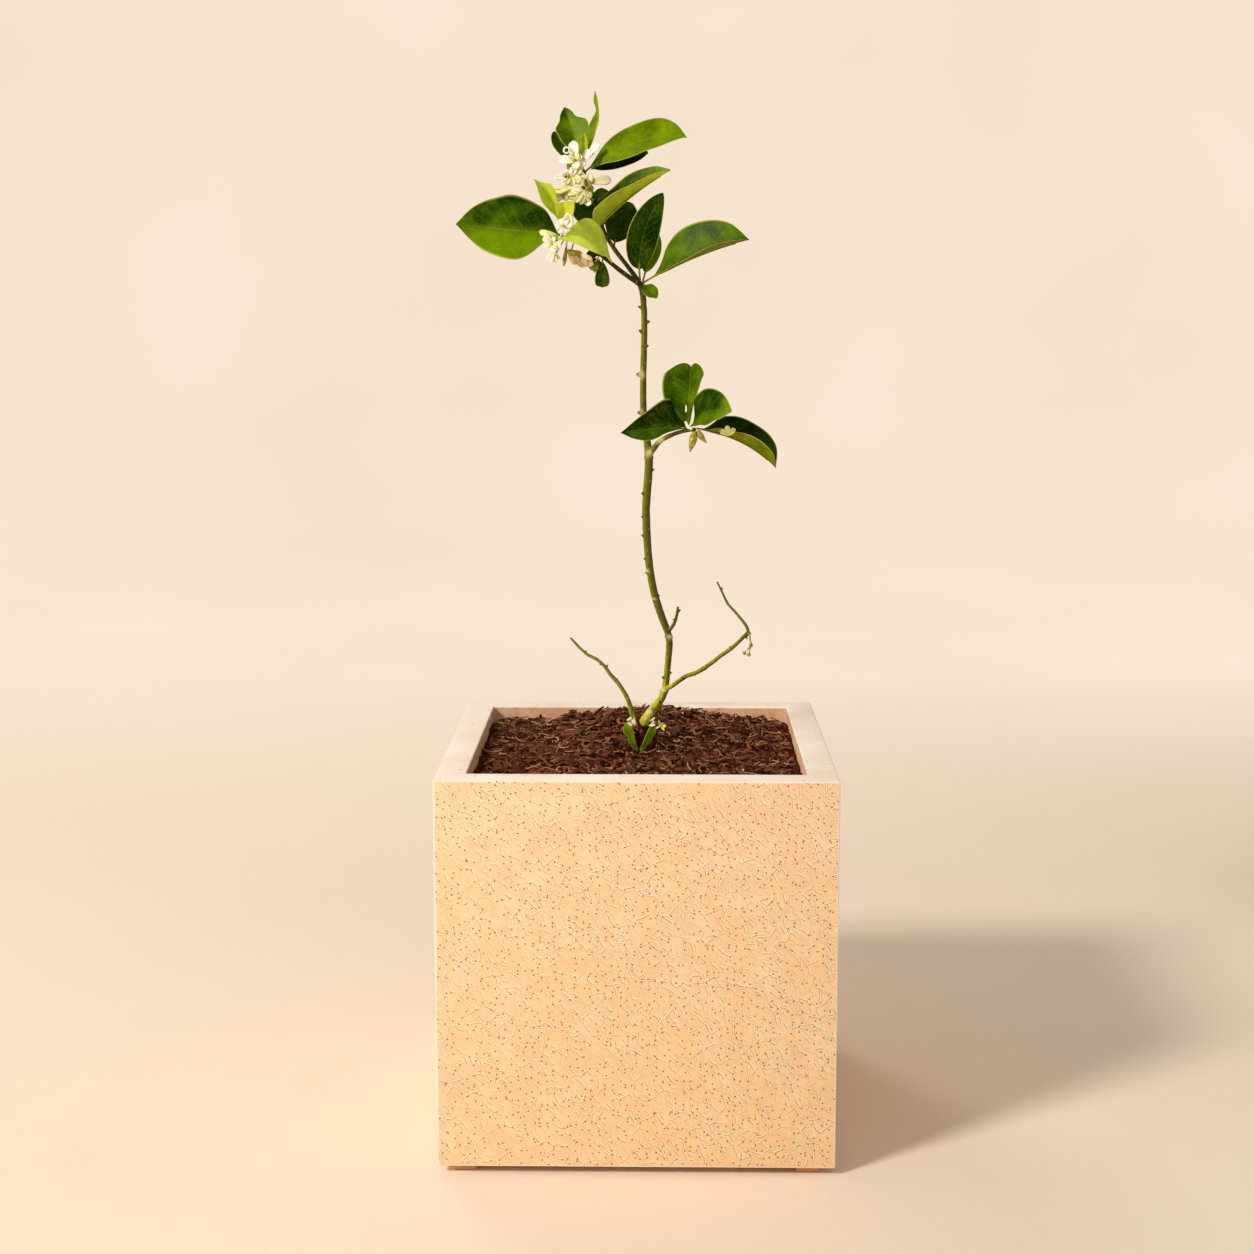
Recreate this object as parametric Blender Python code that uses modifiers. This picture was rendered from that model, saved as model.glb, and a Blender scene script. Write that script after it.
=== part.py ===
"""Potted citrus tree: a slender young citrus in flower, planted in a square cast-stone planter.

The origin is the middle of the planter's footprint, on the ground under its feet, with +Z up and the
planter's front towards -Y. Planter sizes are in metres; the plant's tables are in millimetres."""

import math
from collections import namedtuple

import bmesh
import bpy
from mathutils import Matrix, Vector
from mathutils.geometry import intersect_point_line

# Driving dimensions, in metres
PLANTER_SIDE = 0.400
RIM_HEIGHT = 0.405
WALL = 0.030
FLOOR = 0.030
FOOT_SIDE = 0.023
FOOT_HEIGHT = 0.008
FOOT_INSET_X = 0.0160
FOOT_INSET_Y = 0.0090
EDGE_ROUNDING = 0.0015
GAP = 0.0003

# The soil lies 17 mm under the rim along the walls and swells to a low mound behind the stem.
SOIL_EDGE_HEIGHT = 0.388
MOUND_HEIGHT = 0.021
MOUND_CENTRE = (0.010, 0.110)
MOUND_SPREAD = 0.075
SOIL_CELLS = 14

MM = 0.001
LEAF_THICKNESS = 0.9  # mm
PETIOLE_WIDTH = 2.0  # mm
STALK_RADIUS = 0.8  # mm, of a blossom or a bud
FLAT_SIDE = 0.95  # a stem's flat sides lie this share of its radius from the axis
LEAF_CELLS_ALONG = 9
LEAF_CELLS_ACROSS = 4
PETAL_SEGMENTS = 15

# Stem routes in millimetres: x, y, z and the radius there.
TRUNK = [
    (-1, -2, 345, 3.5), (-1, -2, 372, 5.6), (0, -2, 395, 6.4), (2, -1, 412, 6.3), (8, 0, 424, 5.8),
    (17, 2, 437, 4.9), (25, 4, 448, 4.1), (29, 6, 460, 3.6), (31, 6, 478, 3.2), (33, 5, 500, 3.3),
    (33, 4, 512, 3.4), (31, 3, 521, 3.5), (26, 2, 534, 3.8), (19, 0, 555, 3.9), (14, -2, 577, 3.8),
    (10, -4, 609, 4.0), (8, -6, 652, 4.1), (10, -6, 684, 4.2), (11, -5, 707, 4.2), (8, -3, 733, 3.5),
    (5, -1, 758, 3.3), (5, 2, 797, 3.2), (6, 4, 842, 3.1), (5, 3, 873, 3.0), (2, 2, 891, 2.8),
]
BRANCHES = {
    "base_sucker": [
        (2, 0, 410, 3.0), (-5, 3, 424, 2.9), (-9, 8, 438, 2.5), (-13, 12, 448, 2.3),
        (-22, 19, 461, 2.1), (-31, 24, 470, 1.9), (-37, 28, 478, 1.8), (-46, 33, 485, 1.6),
        (-56, 38, 489, 1.5), (-66, 43, 497, 1.3), (-75, 48, 506, 1.0),
    ],
    "spur": [(31, 3, 519, 1.9), (38, -4, 530, 1.8), (41, -11, 541, 1.5), (42, -16, 550, 1.2)],
    "side_branch": [
        (28, 6, 458, 2.6), (35, 1, 461, 2.3), (43, -6, 468, 2.2), (51, -13, 475, 2.2),
        (63, -22, 481, 2.2), (78, -32, 493, 2.2), (85, -37, 500, 2.1), (96, -44, 509, 2.0),
        (106, -50, 519, 1.9), (115, -56, 530, 1.6),
    ],
    "return_twig": [
        (115, -56, 529, 1.6), (113, -54, 536, 1.4), (101, -45, 550, 1.3), (94, -39, 557, 1.2),
        (88, -33, 569, 1.1), (83, -30, 579, 0.9),
    ],
    "middle_branch": [
        (11, -5, 711, 3.2), (17, -8, 719, 3.0), (24, -13, 727, 2.6), (38, -20, 734, 2.2),
        (51, -26, 738, 2.0), (60, -29, 739, 1.7),
    ],
    "crown_branch_high": [
        (2, 2, 889, 2.7), (-7, 4, 902, 2.4), (-18, 7, 916, 2.3), (-27, 9, 928, 2.2),
        (-36, 10, 943, 2.1), (-42, 9, 960, 2.0), (-47, 7, 978, 1.9), (-54, 4, 997, 1.8),
        (-60, 1, 1013, 1.6), (-58, 2, 1021, 1.4),
    ],
    "crown_branch_low": [
        (2, 2, 889, 2.7), (-9, -4, 896, 2.4), (-20, -10, 904, 2.2), (-30, -16, 912, 2.1),
        (-40, -22, 920, 1.9), (-50, -28, 926, 1.8), (-64, -34, 932, 1.6), (-79, -38, 938, 1.3),
    ],
}

# A leaf runs from root to tip; its upper side looks towards face. bow arches the midrib towards face
# and sweep swings it sideways, in mm. folds lift the left and right halves, in degrees, seen from the
# root with face up. curl rolls the margins up. swell and taper shape the blade: base, then tip.
Leaf = namedtuple(
    "Leaf",
    "root tip width face petiole bow sweep folds curl twist swell taper notch",
    defaults=(8, 0, 0, (15, 15), 0, 0, 0.7, 0.7, 0),
)
LEAVES = {
    "crown_leaf_tip": Leaf(
        (-57.5, 1.5, 1022.5), (-46, 6, 1088), 13, (-0.6, -1, 0), petiole=3, sweep=6, folds=(45, 45), twist=110
    ),
    "crown_leaf_bract": Leaf((-57, -1, 1021), (-56, -8, 1044), 9, (0, -1, 0.2), petiole=2),
    "crown_leaf_back": Leaf(
        (-60, 4, 1020), (-78, 24, 1074), 36, (0, -1, 0.4), folds=(10, 35), swell=0.9, taper=0.4
    ),
    "crown_leaf_back_low": Leaf((-61, 4, 1011), (-89, 30, 1050), 20, (0.3, -1, 0.3), sweep=-3),
    "crown_leaf_right_high": Leaf(
        (-54.5, 0.5, 1005), (50, -25, 1038), 56, (-0.2, -0.5, 0.85), bow=12, folds=(14, -4),
        swell=0.75, taper=0.6,
    ),
    "crown_leaf_right_mid": Leaf(
        (-39, 6, 950), (33, -30, 1006), 44, (-0.6, -0.25, 0.8), folds=(50, 50)
    ),
    "crown_leaf_shaded_high": Leaf((-38.5, 13, 947), (-39, 28, 991), 30, (0.3, -1, 0.3), petiole=5),
    "crown_leaf_shaded_low": Leaf((-27, 12.5, 928.5), (-7, 27, 975), 34, (0.2, -1, 0.3), petiole=5),
    "crown_leaf_shaded_left": Leaf((-43, 9, 952.5), (-69, 4, 974), 18, (0, -1, 0.3), petiole=4),
    "crown_leaf_inner": Leaf(
        (3, -1.5, 894), (26, -12, 983), 34, (0, -1, 0), petiole=12, sweep=-9, swell=0.5
    ),
    "crown_leaf_inner_small": Leaf((3.5, 5, 893), (19, 14, 945), 22, (0, -1, 0.3), petiole=10),
    "crown_leaf_right_low": Leaf(
        (6, 1.5, 890.5), (114, -40, 934), 64, (-0.2, -0.45, 0.9), petiole=12, bow=16, folds=(15, 0)
    ),
    "crown_leaf_fork": Leaf((5, -1.5, 889), (19, -26, 875), 16, (0, -1, 0.4), petiole=3),
    "crown_leaf_left": Leaf(
        (-81.5, -40, 937.5), (-187, -50, 950), 70, (0, -0.9, 0.45), folds=(10, 5), swell=0.55, taper=0.62
    ),
    "crown_leaf_left_narrow": Leaf(
        (-79, -36, 941), (-108, -28, 996), 22, (0, -1, 0.2), petiole=5, sweep=8, folds=(5, 60)
    ),
    "crown_leaf_young": Leaf(
        (-78, -39.5, 940), (-73, -48, 973), 22, (0, -1, 0.2), petiole=3, swell=1.1, taper=0.3
    ),
    "crown_leaf_front": Leaf(
        (-33, -21.5, 914.5), (-83, -64, 934), 50, (0.1, -0.75, 0.65), petiole=5, bow=9, swell=0.4, taper=0.85
    ),
    "crown_leaf_hanging": Leaf(
        (-36.5, -21.5, 914), (-38, -27, 886), 14, (0, -1, 0), petiole=4, swell=1.2, taper=0.28
    ),
    "crown_leaf_hanging_small": Leaf((-41, -20.5, 918), (-54, -19, 921), 10, (0, -1, 0.3), petiole=2),
    "middle_leaf_left": Leaf(
        (50, -29, 741), (-18, -57, 737), 52, (0, -0.7, 0.7), petiole=4, bow=3, folds=(-5, 25),
        swell=0.4, taper=0.75,
    ),
    "middle_leaf_upright": Leaf(
        (51, -22, 741), (55, -13, 804), 56, (0, -1, 0.2), petiole=9, folds=(5, 60), swell=0.6, taper=0.35
    ),
    "middle_leaf_right": Leaf(
        (55, -29.4, 741.6), (95, -75, 760), 58, (0, -0.6, 0.8), petiole=4, bow=4, folds=(40, 10),
        swell=0.35, taper=0.7,
    ),
    "middle_leaf_drooping": Leaf(
        (62.7, -30, 738.7), (143, -45, 700), 50, (0.4, -0.25, 0.8), petiole=5, bow=8, folds=(50, 50)
    ),
}

# Two leaves of a low shoot in front of the stem, standing on the soil.
SOIL_LEAVES = {
    "base_leaf_right": Leaf(
        (2, -18, 394), (17, -8, 419), 12, (0.3, -1, 0), petiole=2, folds=(45, 45), swell=1, taper=0.3
    ),
    "base_leaf_left": Leaf(
        (0, -17, 394), (-14, -12, 424), 12, (-0.3, -1, 0), petiole=2, folds=(30, 30), swell=1, taper=0.3
    ),
}

# A blossom's stalk starts at root and its petals open around heart, in mm; reach is the petals' radius.
Blossom = namedtuple("Blossom", "root heart reach", defaults=(8,))
BLOSSOMS = {
    "blossom_top": Blossom((-60, -2, 1014), (-65, -15, 1016), 9),
    "blossom_upper_left": Blossom((-56, 0, 998), (-73, -12, 1000)),
    "blossom_upper_right": Blossom((-54, 0, 992), (-54, -14, 988)),
    "blossom_middle_left": Blossom((-50, 4, 984), (-80, -12, 982)),
    "blossom_middle_right": Blossom((-47, 4, 977), (-54, -12, 973), 6),
    "blossom_front": Blossom((-71, -38, 935), (-77, -53, 949), 5),
    "blossom_left": Blossom((-79, -41, 936), (-88, -57, 930)),
    "blossom_lower_left": Blossom((-78, -36, 933), (-85, -42, 919), 6),
    "blossom_faded": Blossom((-68, -34, 930), (-70, -30, 918), 8),
    "blossom_at_base": Blossom((15, -4, 424), (24, -8, 419), 4),
}

# Buds, spent flowers and the fruitlet: a stalk from root and a spindle around heart, in mm.
Bud = namedtuple("Bud", "root heart radius length")
BUDS = {
    "fruitlet": Bud((-42, -24, 917), (-45, -26, 904), 5, 6),
    "spent_flower_crown": Bud((-74, -39, 932), (-76, -44, 911), 2.4, 8),
    "spent_flower_middle_left": Bud((58, -30, 736.5), (55, -34, 722), 3.5, 12),
    "spent_flower_middle_right": Bud((61, -28.5, 737.5), (69, -33, 728), 2.5, 7),
}

# Curled petals caught at the foot of the trunk, with a leaf's measures.
PETALS = {
    "fallen_petal_left": Leaf((-5, -1, 422), (-12, -8, 426), 4, (0, -1, 0.3), petiole=0, bow=2),
    "fallen_petal_right": Leaf((12, -6, 425), (20, -9, 420), 4, (0, -1, 0.3), petiole=0, bow=2),
}

# The dangling spent flower cluster at the end of the side branch: stalks, then two withered cups.
DANGLING_STALKS = {
    "dangling_stalk": [
        (115.5, -56.5, 528, 0.7), (119, -58, 520, 0.7), (118, -59, 515, 0.7), (112, -60, 510, 0.7),
    ],
    "dangling_fork": [(118, -59, 515, 0.7), (116, -60, 509, 0.7)],
}
DANGLING_CUPS = {"dangling_cup_left": (111, -60, 509, 2.2), "dangling_cup_right": (116, -60, 507, 2.5)}


def clear_scene():
    for obj in list(bpy.data.objects):
        bpy.data.objects.remove(obj)


def new_collection(name, hidden=False):
    collection = bpy.data.collections.new(name)
    bpy.context.scene.collection.children.link(collection)
    collection.hide_render = hidden
    return collection


def finish_material(name, colour, roughness, metallic=0.0):
    material = bpy.data.materials.new(name)
    material.use_nodes = True
    shader = material.node_tree.nodes["Principled BSDF"]
    shader.inputs["Base Color"].default_value = (*colour, 1.0)
    shader.inputs["Roughness"].default_value = roughness
    shader.inputs["Metallic"].default_value = metallic
    return material


def add_object(name, mesh, collection, material=None):
    obj = bpy.data.objects.new(name, mesh)
    collection.objects.link(obj)
    if material:
        mesh.materials.append(material)
    return obj


def mesh_of(name, bm):
    mesh = bpy.data.meshes.new(name)
    bmesh.ops.recalc_face_normals(bm, faces=bm.faces)
    bm.to_mesh(mesh)
    bm.free()
    return mesh


def block(name, size, centre, collection, material=None):
    bm = bmesh.new()
    bmesh.ops.create_cube(bm, size=1.0)
    bmesh.ops.scale(bm, vec=Vector(size), verts=bm.verts)
    obj = add_object(name, mesh_of(name, bm), collection, material)
    obj.location = centre
    return obj


def as_cutter(obj):
    obj.hide_render = True
    obj.display_type = "WIRE"
    return obj


def add_boolean(obj, other, operation):
    boolean = obj.modifiers.new(f"{operation.lower()}_{other.name}", "BOOLEAN")
    boolean.operation = operation
    boolean.object = other


def round_edges(obj, width, segments=1):
    bevel = obj.modifiers.new("rounding", "BEVEL")
    bevel.width = width
    bevel.segments = segments
    bevel.limit_method = "ANGLE"


def soil_height(x, y):
    spread = (x - MOUND_CENTRE[0]) ** 2 + (y - MOUND_CENTRE[1]) ** 2
    return SOIL_EDGE_HEIGHT + MOUND_HEIGHT * math.exp(-spread / (2 * MOUND_SPREAD**2))


def build_planter(parts, cutters, stone):
    body_height = RIM_HEIGHT - FOOT_HEIGHT
    body_middle = FOOT_HEIGHT + body_height / 2
    planter = block("planter", (PLANTER_SIDE, PLANTER_SIDE, body_height), (0, 0, body_middle), parts, stone)
    opening = PLANTER_SIDE - 2 * WALL
    depth = body_height - FLOOR
    over_rim = 0.010
    cavity = as_cutter(
        block(
            "planter_cavity",
            (opening, opening, depth + over_rim),
            (0, 0, RIM_HEIGHT - depth / 2 + over_rim / 2),
            cutters,
        )
    )
    round_edges(planter, EDGE_ROUNDING)
    add_boolean(planter, cavity, "DIFFERENCE")


def build_feet(parts, material):
    x = PLANTER_SIDE / 2 - FOOT_INSET_X - FOOT_SIDE / 2
    y = PLANTER_SIDE / 2 - FOOT_INSET_Y - FOOT_SIDE / 2
    height = FOOT_HEIGHT - GAP
    for front_or_back, side_y in (("front", -y), ("back", y)):
        for left_or_right, side_x in (("left", -x), ("right", x)):
            name = f"foot_{front_or_back}_{left_or_right}"
            place = (side_x, side_y, height / 2)
            foot = block(name, (FOOT_SIDE, FOOT_SIDE, height), place, parts, material)
            round_edges(foot, EDGE_ROUNDING)


def build_soil(parts, cutters, material):
    half = PLANTER_SIDE / 2 - WALL - GAP
    floor = FOOT_HEIGHT + FLOOR + GAP
    bm = bmesh.new()
    bmesh.ops.create_grid(bm, x_segments=SOIL_CELLS, y_segments=SOIL_CELLS, size=half)
    for vert in bm.verts:
        vert.co.z = soil_height(vert.co.x, vert.co.y)
    border = [edge for edge in bm.edges if edge.is_boundary]
    walls = bmesh.ops.extrude_edge_only(bm, edges=border)["geom"]
    for vert in (item for item in walls if isinstance(item, bmesh.types.BMVert)):
        vert.co.z = floor
    bottom = [item for item in walls if isinstance(item, bmesh.types.BMEdge) and item.is_boundary]
    bmesh.ops.contextual_create(bm, geom=bottom)
    soil = add_object("potting_soil", mesh_of("potting_soil", bm), parts, material)
    clearance = GAP / MM * 2
    buried = [(x, y, z, radius + clearance) for x, y, z, radius in TRUNK[:4]]
    buried[0] = (*buried[0][:2], buried[0][2] - clearance, buried[0][3])
    pocket = as_cutter(tube("stem_pocket", buried, cutters, sides=10))
    add_boolean(soil, pocket, "DIFFERENCE")


def smooth_route(route, steps=2):
    """Points along a Catmull-Rom curve through the route, its radius included."""
    points = [Vector(point) for point in route]
    ends = [points[0] * 2 - points[1], *points, points[-1] * 2 - points[-2]]
    smooth = []
    for before, start, end, after in zip(ends, ends[1:], ends[2:], ends[3:]):
        for step in range(steps):
            t = step / steps
            smooth.append(
                start
                + (end - before) * (t / 2)
                + (before * 2 - start * 5 + end * 4 - after) * (t * t / 2)
                + (start * 3 - before - end * 3 + after) * (t**3 / 2)
            )
    return [*smooth, points[-1]]


def tube(name, route, collection, sides=8, material=None):
    """A round stem through the route's points, as a closed mesh."""
    curve = bpy.data.curves.new(name, "CURVE")
    curve.dimensions = "3D"
    curve.bevel_depth = MM
    curve.bevel_resolution = (sides - 4) // 2
    curve.use_fill_caps = True
    points = smooth_route([tuple(point) for point in route])
    spline = curve.splines.new("POLY")
    spline.points.add(len(points) - 1)
    for point, place in zip(spline.points, points):
        point.co = (place[0] * MM, place[1] * MM, place[2] * MM, 1.0)
        point.radius = place[3]
    guide = bpy.data.objects.new(f"{name}_guide", curve)
    collection.objects.link(guide)
    graph = bpy.context.evaluated_depsgraph_get()
    mesh = bpy.data.meshes.new_from_object(guide.evaluated_get(graph))
    bpy.data.objects.remove(guide)
    bm = bmesh.new()
    bm.from_mesh(mesh)
    bmesh.ops.remove_doubles(bm, verts=bm.verts, dist=1e-6)
    bmesh.ops.recalc_face_normals(bm, faces=bm.faces)
    bm.to_mesh(mesh)
    bm.free()
    mesh.name = name
    mesh.shade_smooth()
    return add_object(name, mesh, collection, material)


def build_stem(parts, cutters, bark):
    stem = tube("woody_stem", TRUNK, parts, sides=8, material=bark)
    for name, route in BRANCHES.items():
        branch = as_cutter(tube(name, route, cutters, sides=6))
        add_boolean(stem, branch, "UNION")


def seated(root, half_sizes):
    """The root moved onto the nearest stem, a gap off its bark. half_sizes are the vectors from the
    middle of the stalk's foot to its edges."""
    root = Vector(root)
    found = []
    for route in (TRUNK, *BRANCHES.values()):
        points = smooth_route(route)
        for start, end in zip(points, points[1:]):
            _, share = intersect_point_line(root, start.to_3d(), end.to_3d())
            place = start.lerp(end, min(max(share, 0), 1))
            outward = root - place.to_3d()
            found.append((outward.length - place[3], place, outward, end - start))
    _, place, outward, heading = min(found, key=lambda item: item[0])
    outward.normalize()
    off_axis = math.sqrt(max(0, 1 - outward.dot(heading.to_3d().normalized()) ** 2))
    reach = sum(abs(outward.dot(half)) for half in half_sizes)
    return place.to_3d() + outward * (place[3] * off_axis * FLAT_SIDE + reach + GAP / MM)


def seated_leaf(leaf):
    """The leaf with the foot of its stalk against the nearest stem."""
    right, _, up, _ = leaf_axes(leaf)
    foot = (right * PETIOLE_WIDTH / 2, up * LEAF_THICKNESS / 2)
    return leaf._replace(root=seated(leaf.root, foot))


def seated_turned(piece):
    """The blossom or bud with the round foot of its stalk against the nearest stem."""
    axis = (Vector(piece.heart) - Vector(piece.root)).normalized()
    side = axis.orthogonal().normalized() * STALK_RADIUS
    return piece._replace(root=seated(piece.root, (side, axis.cross(side))))


def leaf_axes(leaf):
    """The leaf's own frame: x to its right, y from root to tip, z out of its upper side."""
    chord = Vector(leaf.tip) - Vector(leaf.root)
    along = chord.normalized()
    up = Vector(leaf.face)
    up = (up - along * up.dot(along)).normalized()
    return along.cross(up), along, up, chord.length


def half_width(leaf, along, length):
    petiole = leaf.petiole / length
    stalk = PETIOLE_WIDTH / 2
    if along <= petiole:
        return stalk
    s = (along - petiole) / (1 - petiole)
    peak = leaf.swell / (leaf.swell + leaf.taper)
    most = peak**leaf.swell * (1 - peak) ** leaf.taper
    blade = leaf.width / 2 * s**leaf.swell * (1 - s) ** leaf.taper / most
    return max(blade, stalk * (1 - s), 0.4)


def leaf_point(leaf, axes, across, along):
    """The middle surface at across, from -1 left to 1 right, and along, from 0 root to 1 tip."""
    right, forward, up, length = axes
    arch = 4 * along * (1 - along)
    slope = 4 * (1 - 2 * along) / length
    spine = forward * (along * length) + up * (leaf.bow * arch) + right * (leaf.sweep * arch)
    heading = (forward + up * (leaf.bow * slope) + right * (leaf.sweep * slope)).normalized()
    turn = Matrix.Rotation(math.radians(leaf.twist * (along - 0.5)), 3, heading)
    side = turn @ (right - heading * right.dot(heading)).normalized()
    lift = side.cross(heading)
    reach = abs(across) * half_width(leaf, along, length)
    angle = math.radians(leaf.folds[across > 0] + leaf.curl * abs(across) / 2)
    offset = side * (math.copysign(reach, across) * math.cos(angle)) + lift * (reach * math.sin(angle))
    notch = heading * (leaf.notch * (abs(across) - 0.5) * along**6)
    return Vector(leaf.root) + spine + offset + notch


def build_leaf(name, leaf, parts, material, thickness=LEAF_THICKNESS):
    axes = leaf_axes(leaf)
    bm = bmesh.new()
    bmesh.ops.create_grid(bm, x_segments=LEAF_CELLS_ACROSS, y_segments=LEAF_CELLS_ALONG, size=1.0)
    for vert in bm.verts:
        vert.co = leaf_point(leaf, axes, vert.co.x, (vert.co.y + 1) / 2) * MM
    mesh = bpy.data.meshes.new(name)
    bm.to_mesh(mesh)
    bm.free()
    obj = add_object(name, mesh, parts, material)
    mesh.shade_smooth()
    solidify = obj.modifiers.new("thickness", "SOLIDIFY")
    solidify.thickness = thickness * MM
    solidify.offset = 0.0


def turned(name, profile, root, heart, segments, parts, material, lobe=None):
    """A profile of (radius, height) pairs, in mm, spun about the line from root to heart. lobe gives
    the share of a petal's reach that is left at each segment."""
    bm = bmesh.new()
    verts = [bm.verts.new((radius, 0, height)) for radius, height in profile]
    edges = [bm.edges.new(pair) for pair in zip(verts, verts[1:])]
    bmesh.ops.spin(
        bm, geom=verts + edges, cent=(0, 0, 0), axis=(0, 0, 1), angle=math.tau, steps=segments, use_merge=True
    )
    bmesh.ops.remove_doubles(bm, verts=bm.verts, dist=1e-4)
    if lobe:
        inner, shares = lobe
        for vert in bm.verts:
            radius = math.hypot(vert.co.x, vert.co.y)
            if radius > inner:
                segment = round(math.atan2(vert.co.y, vert.co.x) / math.tau * segments)
                wanted = inner + (radius - inner) * shares[segment % len(shares)]
                vert.co.x *= wanted / radius
                vert.co.y *= wanted / radius
    axis = Vector(heart) - Vector(root)
    turn = axis.to_track_quat("Z", "Y").to_matrix().to_4x4()
    place = Matrix.Scale(MM, 4) @ Matrix.Translation(Vector(root)) @ turn
    bmesh.ops.transform(bm, matrix=place, verts=bm.verts)
    mesh = mesh_of(name, bm)
    mesh.shade_smooth()
    return add_object(name, mesh, parts, material)


def build_blossom(name, blossom, parts, material):
    """Stalk, calyx, five strap petals bent outwards and the column of stamens, as one grown piece."""
    height = (Vector(blossom.heart) - Vector(blossom.root)).length
    reach = blossom.reach
    calyx = 2.1
    profile = [
        (0, 0), (STALK_RADIUS, 0), (STALK_RADIUS, height - 2), (calyx, height), (reach * 0.6, height + 1.7),
        (reach, height + 0.6), (reach * 0.97, height + 1.6), (reach * 0.6, height + 2.8),
        (1.5, height + 2.4), (1.3, height + 5), (0, height + 5.6),
    ]
    turned(name, profile, blossom.root, blossom.heart, PETAL_SEGMENTS, parts, material, (calyx, (1, 0.2, 1)))


def build_bud(name, bud, parts, material):
    height = (Vector(bud.heart) - Vector(bud.root)).length
    half = bud.length / 2
    profile = [
        (0, 0), (STALK_RADIUS, 0), (STALK_RADIUS, height - half), (bud.radius * 0.8, height - half * 0.5),
        (bud.radius, height), (bud.radius * 0.7, height + half * 0.6), (0, height + half),
    ]
    turned(name, profile, bud.root, bud.heart, 8, parts, material)


def build_dangling_cluster(parts, cutters, material):
    routes = dict(DANGLING_STALKS)
    cluster = tube("spent_flower_dangling", routes.pop("dangling_stalk"), parts, 6, material)
    for name, route in routes.items():
        add_boolean(cluster, as_cutter(tube(name, route, cutters, sides=6)), "UNION")
    for name, (x, y, z, radius) in DANGLING_CUPS.items():
        bm = bmesh.new()
        bmesh.ops.create_icosphere(bm, subdivisions=1, radius=radius * MM)
        cup = add_object(name, mesh_of(name, bm), cutters)
        cup.location = Vector((x, y, z)) * MM
        add_boolean(cluster, as_cutter(cup), "UNION")


def main():
    clear_scene()
    parts = new_collection("potted_citrus_tree")
    cutters = new_collection("cutters", hidden=True)
    stone = finish_material("cast_stone", (0.90, 0.60, 0.33), 0.75)
    soil = finish_material("soil", (0.095, 0.032, 0.012), 0.95)
    bark = finish_material("green_bark", (0.12, 0.10, 0.012), 0.55)
    green = finish_material("leaf_green", (0.055, 0.13, 0.010), 0.35)
    white = finish_material("petal_white", (0.85, 0.84, 0.74), 0.5)
    olive = finish_material("spent_olive", (0.40, 0.35, 0.05), 0.6)
    build_planter(parts, cutters, stone)
    build_feet(parts, stone)
    build_soil(parts, cutters, soil)
    build_stem(parts, cutters, bark)
    for name, leaf in LEAVES.items():
        build_leaf(name, seated_leaf(leaf), parts, green)
    for name, leaf in SOIL_LEAVES.items():
        build_leaf(name, leaf, parts, green)
    for name, petal in PETALS.items():
        build_leaf(name, seated_leaf(petal), parts, white)
    for name, blossom in BLOSSOMS.items():
        build_blossom(name, seated_turned(blossom), parts, white)
    for name, bud in BUDS.items():
        build_bud(name, seated_turned(bud), parts, olive)
    build_dangling_cluster(parts, cutters, olive)


main()
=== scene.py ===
"""Potted citrus tree: the looks of a slender young citrus in flower, in a square cast-stone planter.

The plant, the litter on the soil and the patterns in the finishes are sized in millimetres, as the part
is; the rest, and every finished mesh, is in metres."""

import math
import random
from collections import namedtuple

import bmesh
import bpy
from mathutils import Matrix, Vector, noise
from mathutils.bvhtree import BVHTree


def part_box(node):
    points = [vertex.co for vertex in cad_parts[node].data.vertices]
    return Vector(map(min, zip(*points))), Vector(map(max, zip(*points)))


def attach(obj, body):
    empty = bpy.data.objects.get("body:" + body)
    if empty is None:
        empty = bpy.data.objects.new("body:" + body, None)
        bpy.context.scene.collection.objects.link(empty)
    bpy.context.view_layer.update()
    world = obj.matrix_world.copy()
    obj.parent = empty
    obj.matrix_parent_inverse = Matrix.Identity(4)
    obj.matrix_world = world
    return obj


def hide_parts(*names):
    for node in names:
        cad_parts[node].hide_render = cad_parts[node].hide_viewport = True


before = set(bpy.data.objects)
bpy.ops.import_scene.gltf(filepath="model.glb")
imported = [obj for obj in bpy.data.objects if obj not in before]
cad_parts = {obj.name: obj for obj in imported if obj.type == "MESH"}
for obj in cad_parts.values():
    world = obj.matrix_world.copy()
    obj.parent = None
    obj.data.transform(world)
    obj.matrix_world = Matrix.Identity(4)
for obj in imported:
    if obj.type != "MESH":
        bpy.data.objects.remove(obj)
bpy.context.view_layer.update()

MM = 0.001
GOLDEN_TURN = 2.39996


# ---------------------------------------------------------------- materials


def colour(red, green, blue):
    """A colour named by how it should look, 0 to 255, in the shader's linear values."""

    def linear(level):
        level /= 255
        return level / 12.92 if level <= 0.04045 else ((level + 0.055) / 1.055) ** 2.4

    return (linear(red), linear(green), linear(blue), 1.0)


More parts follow.
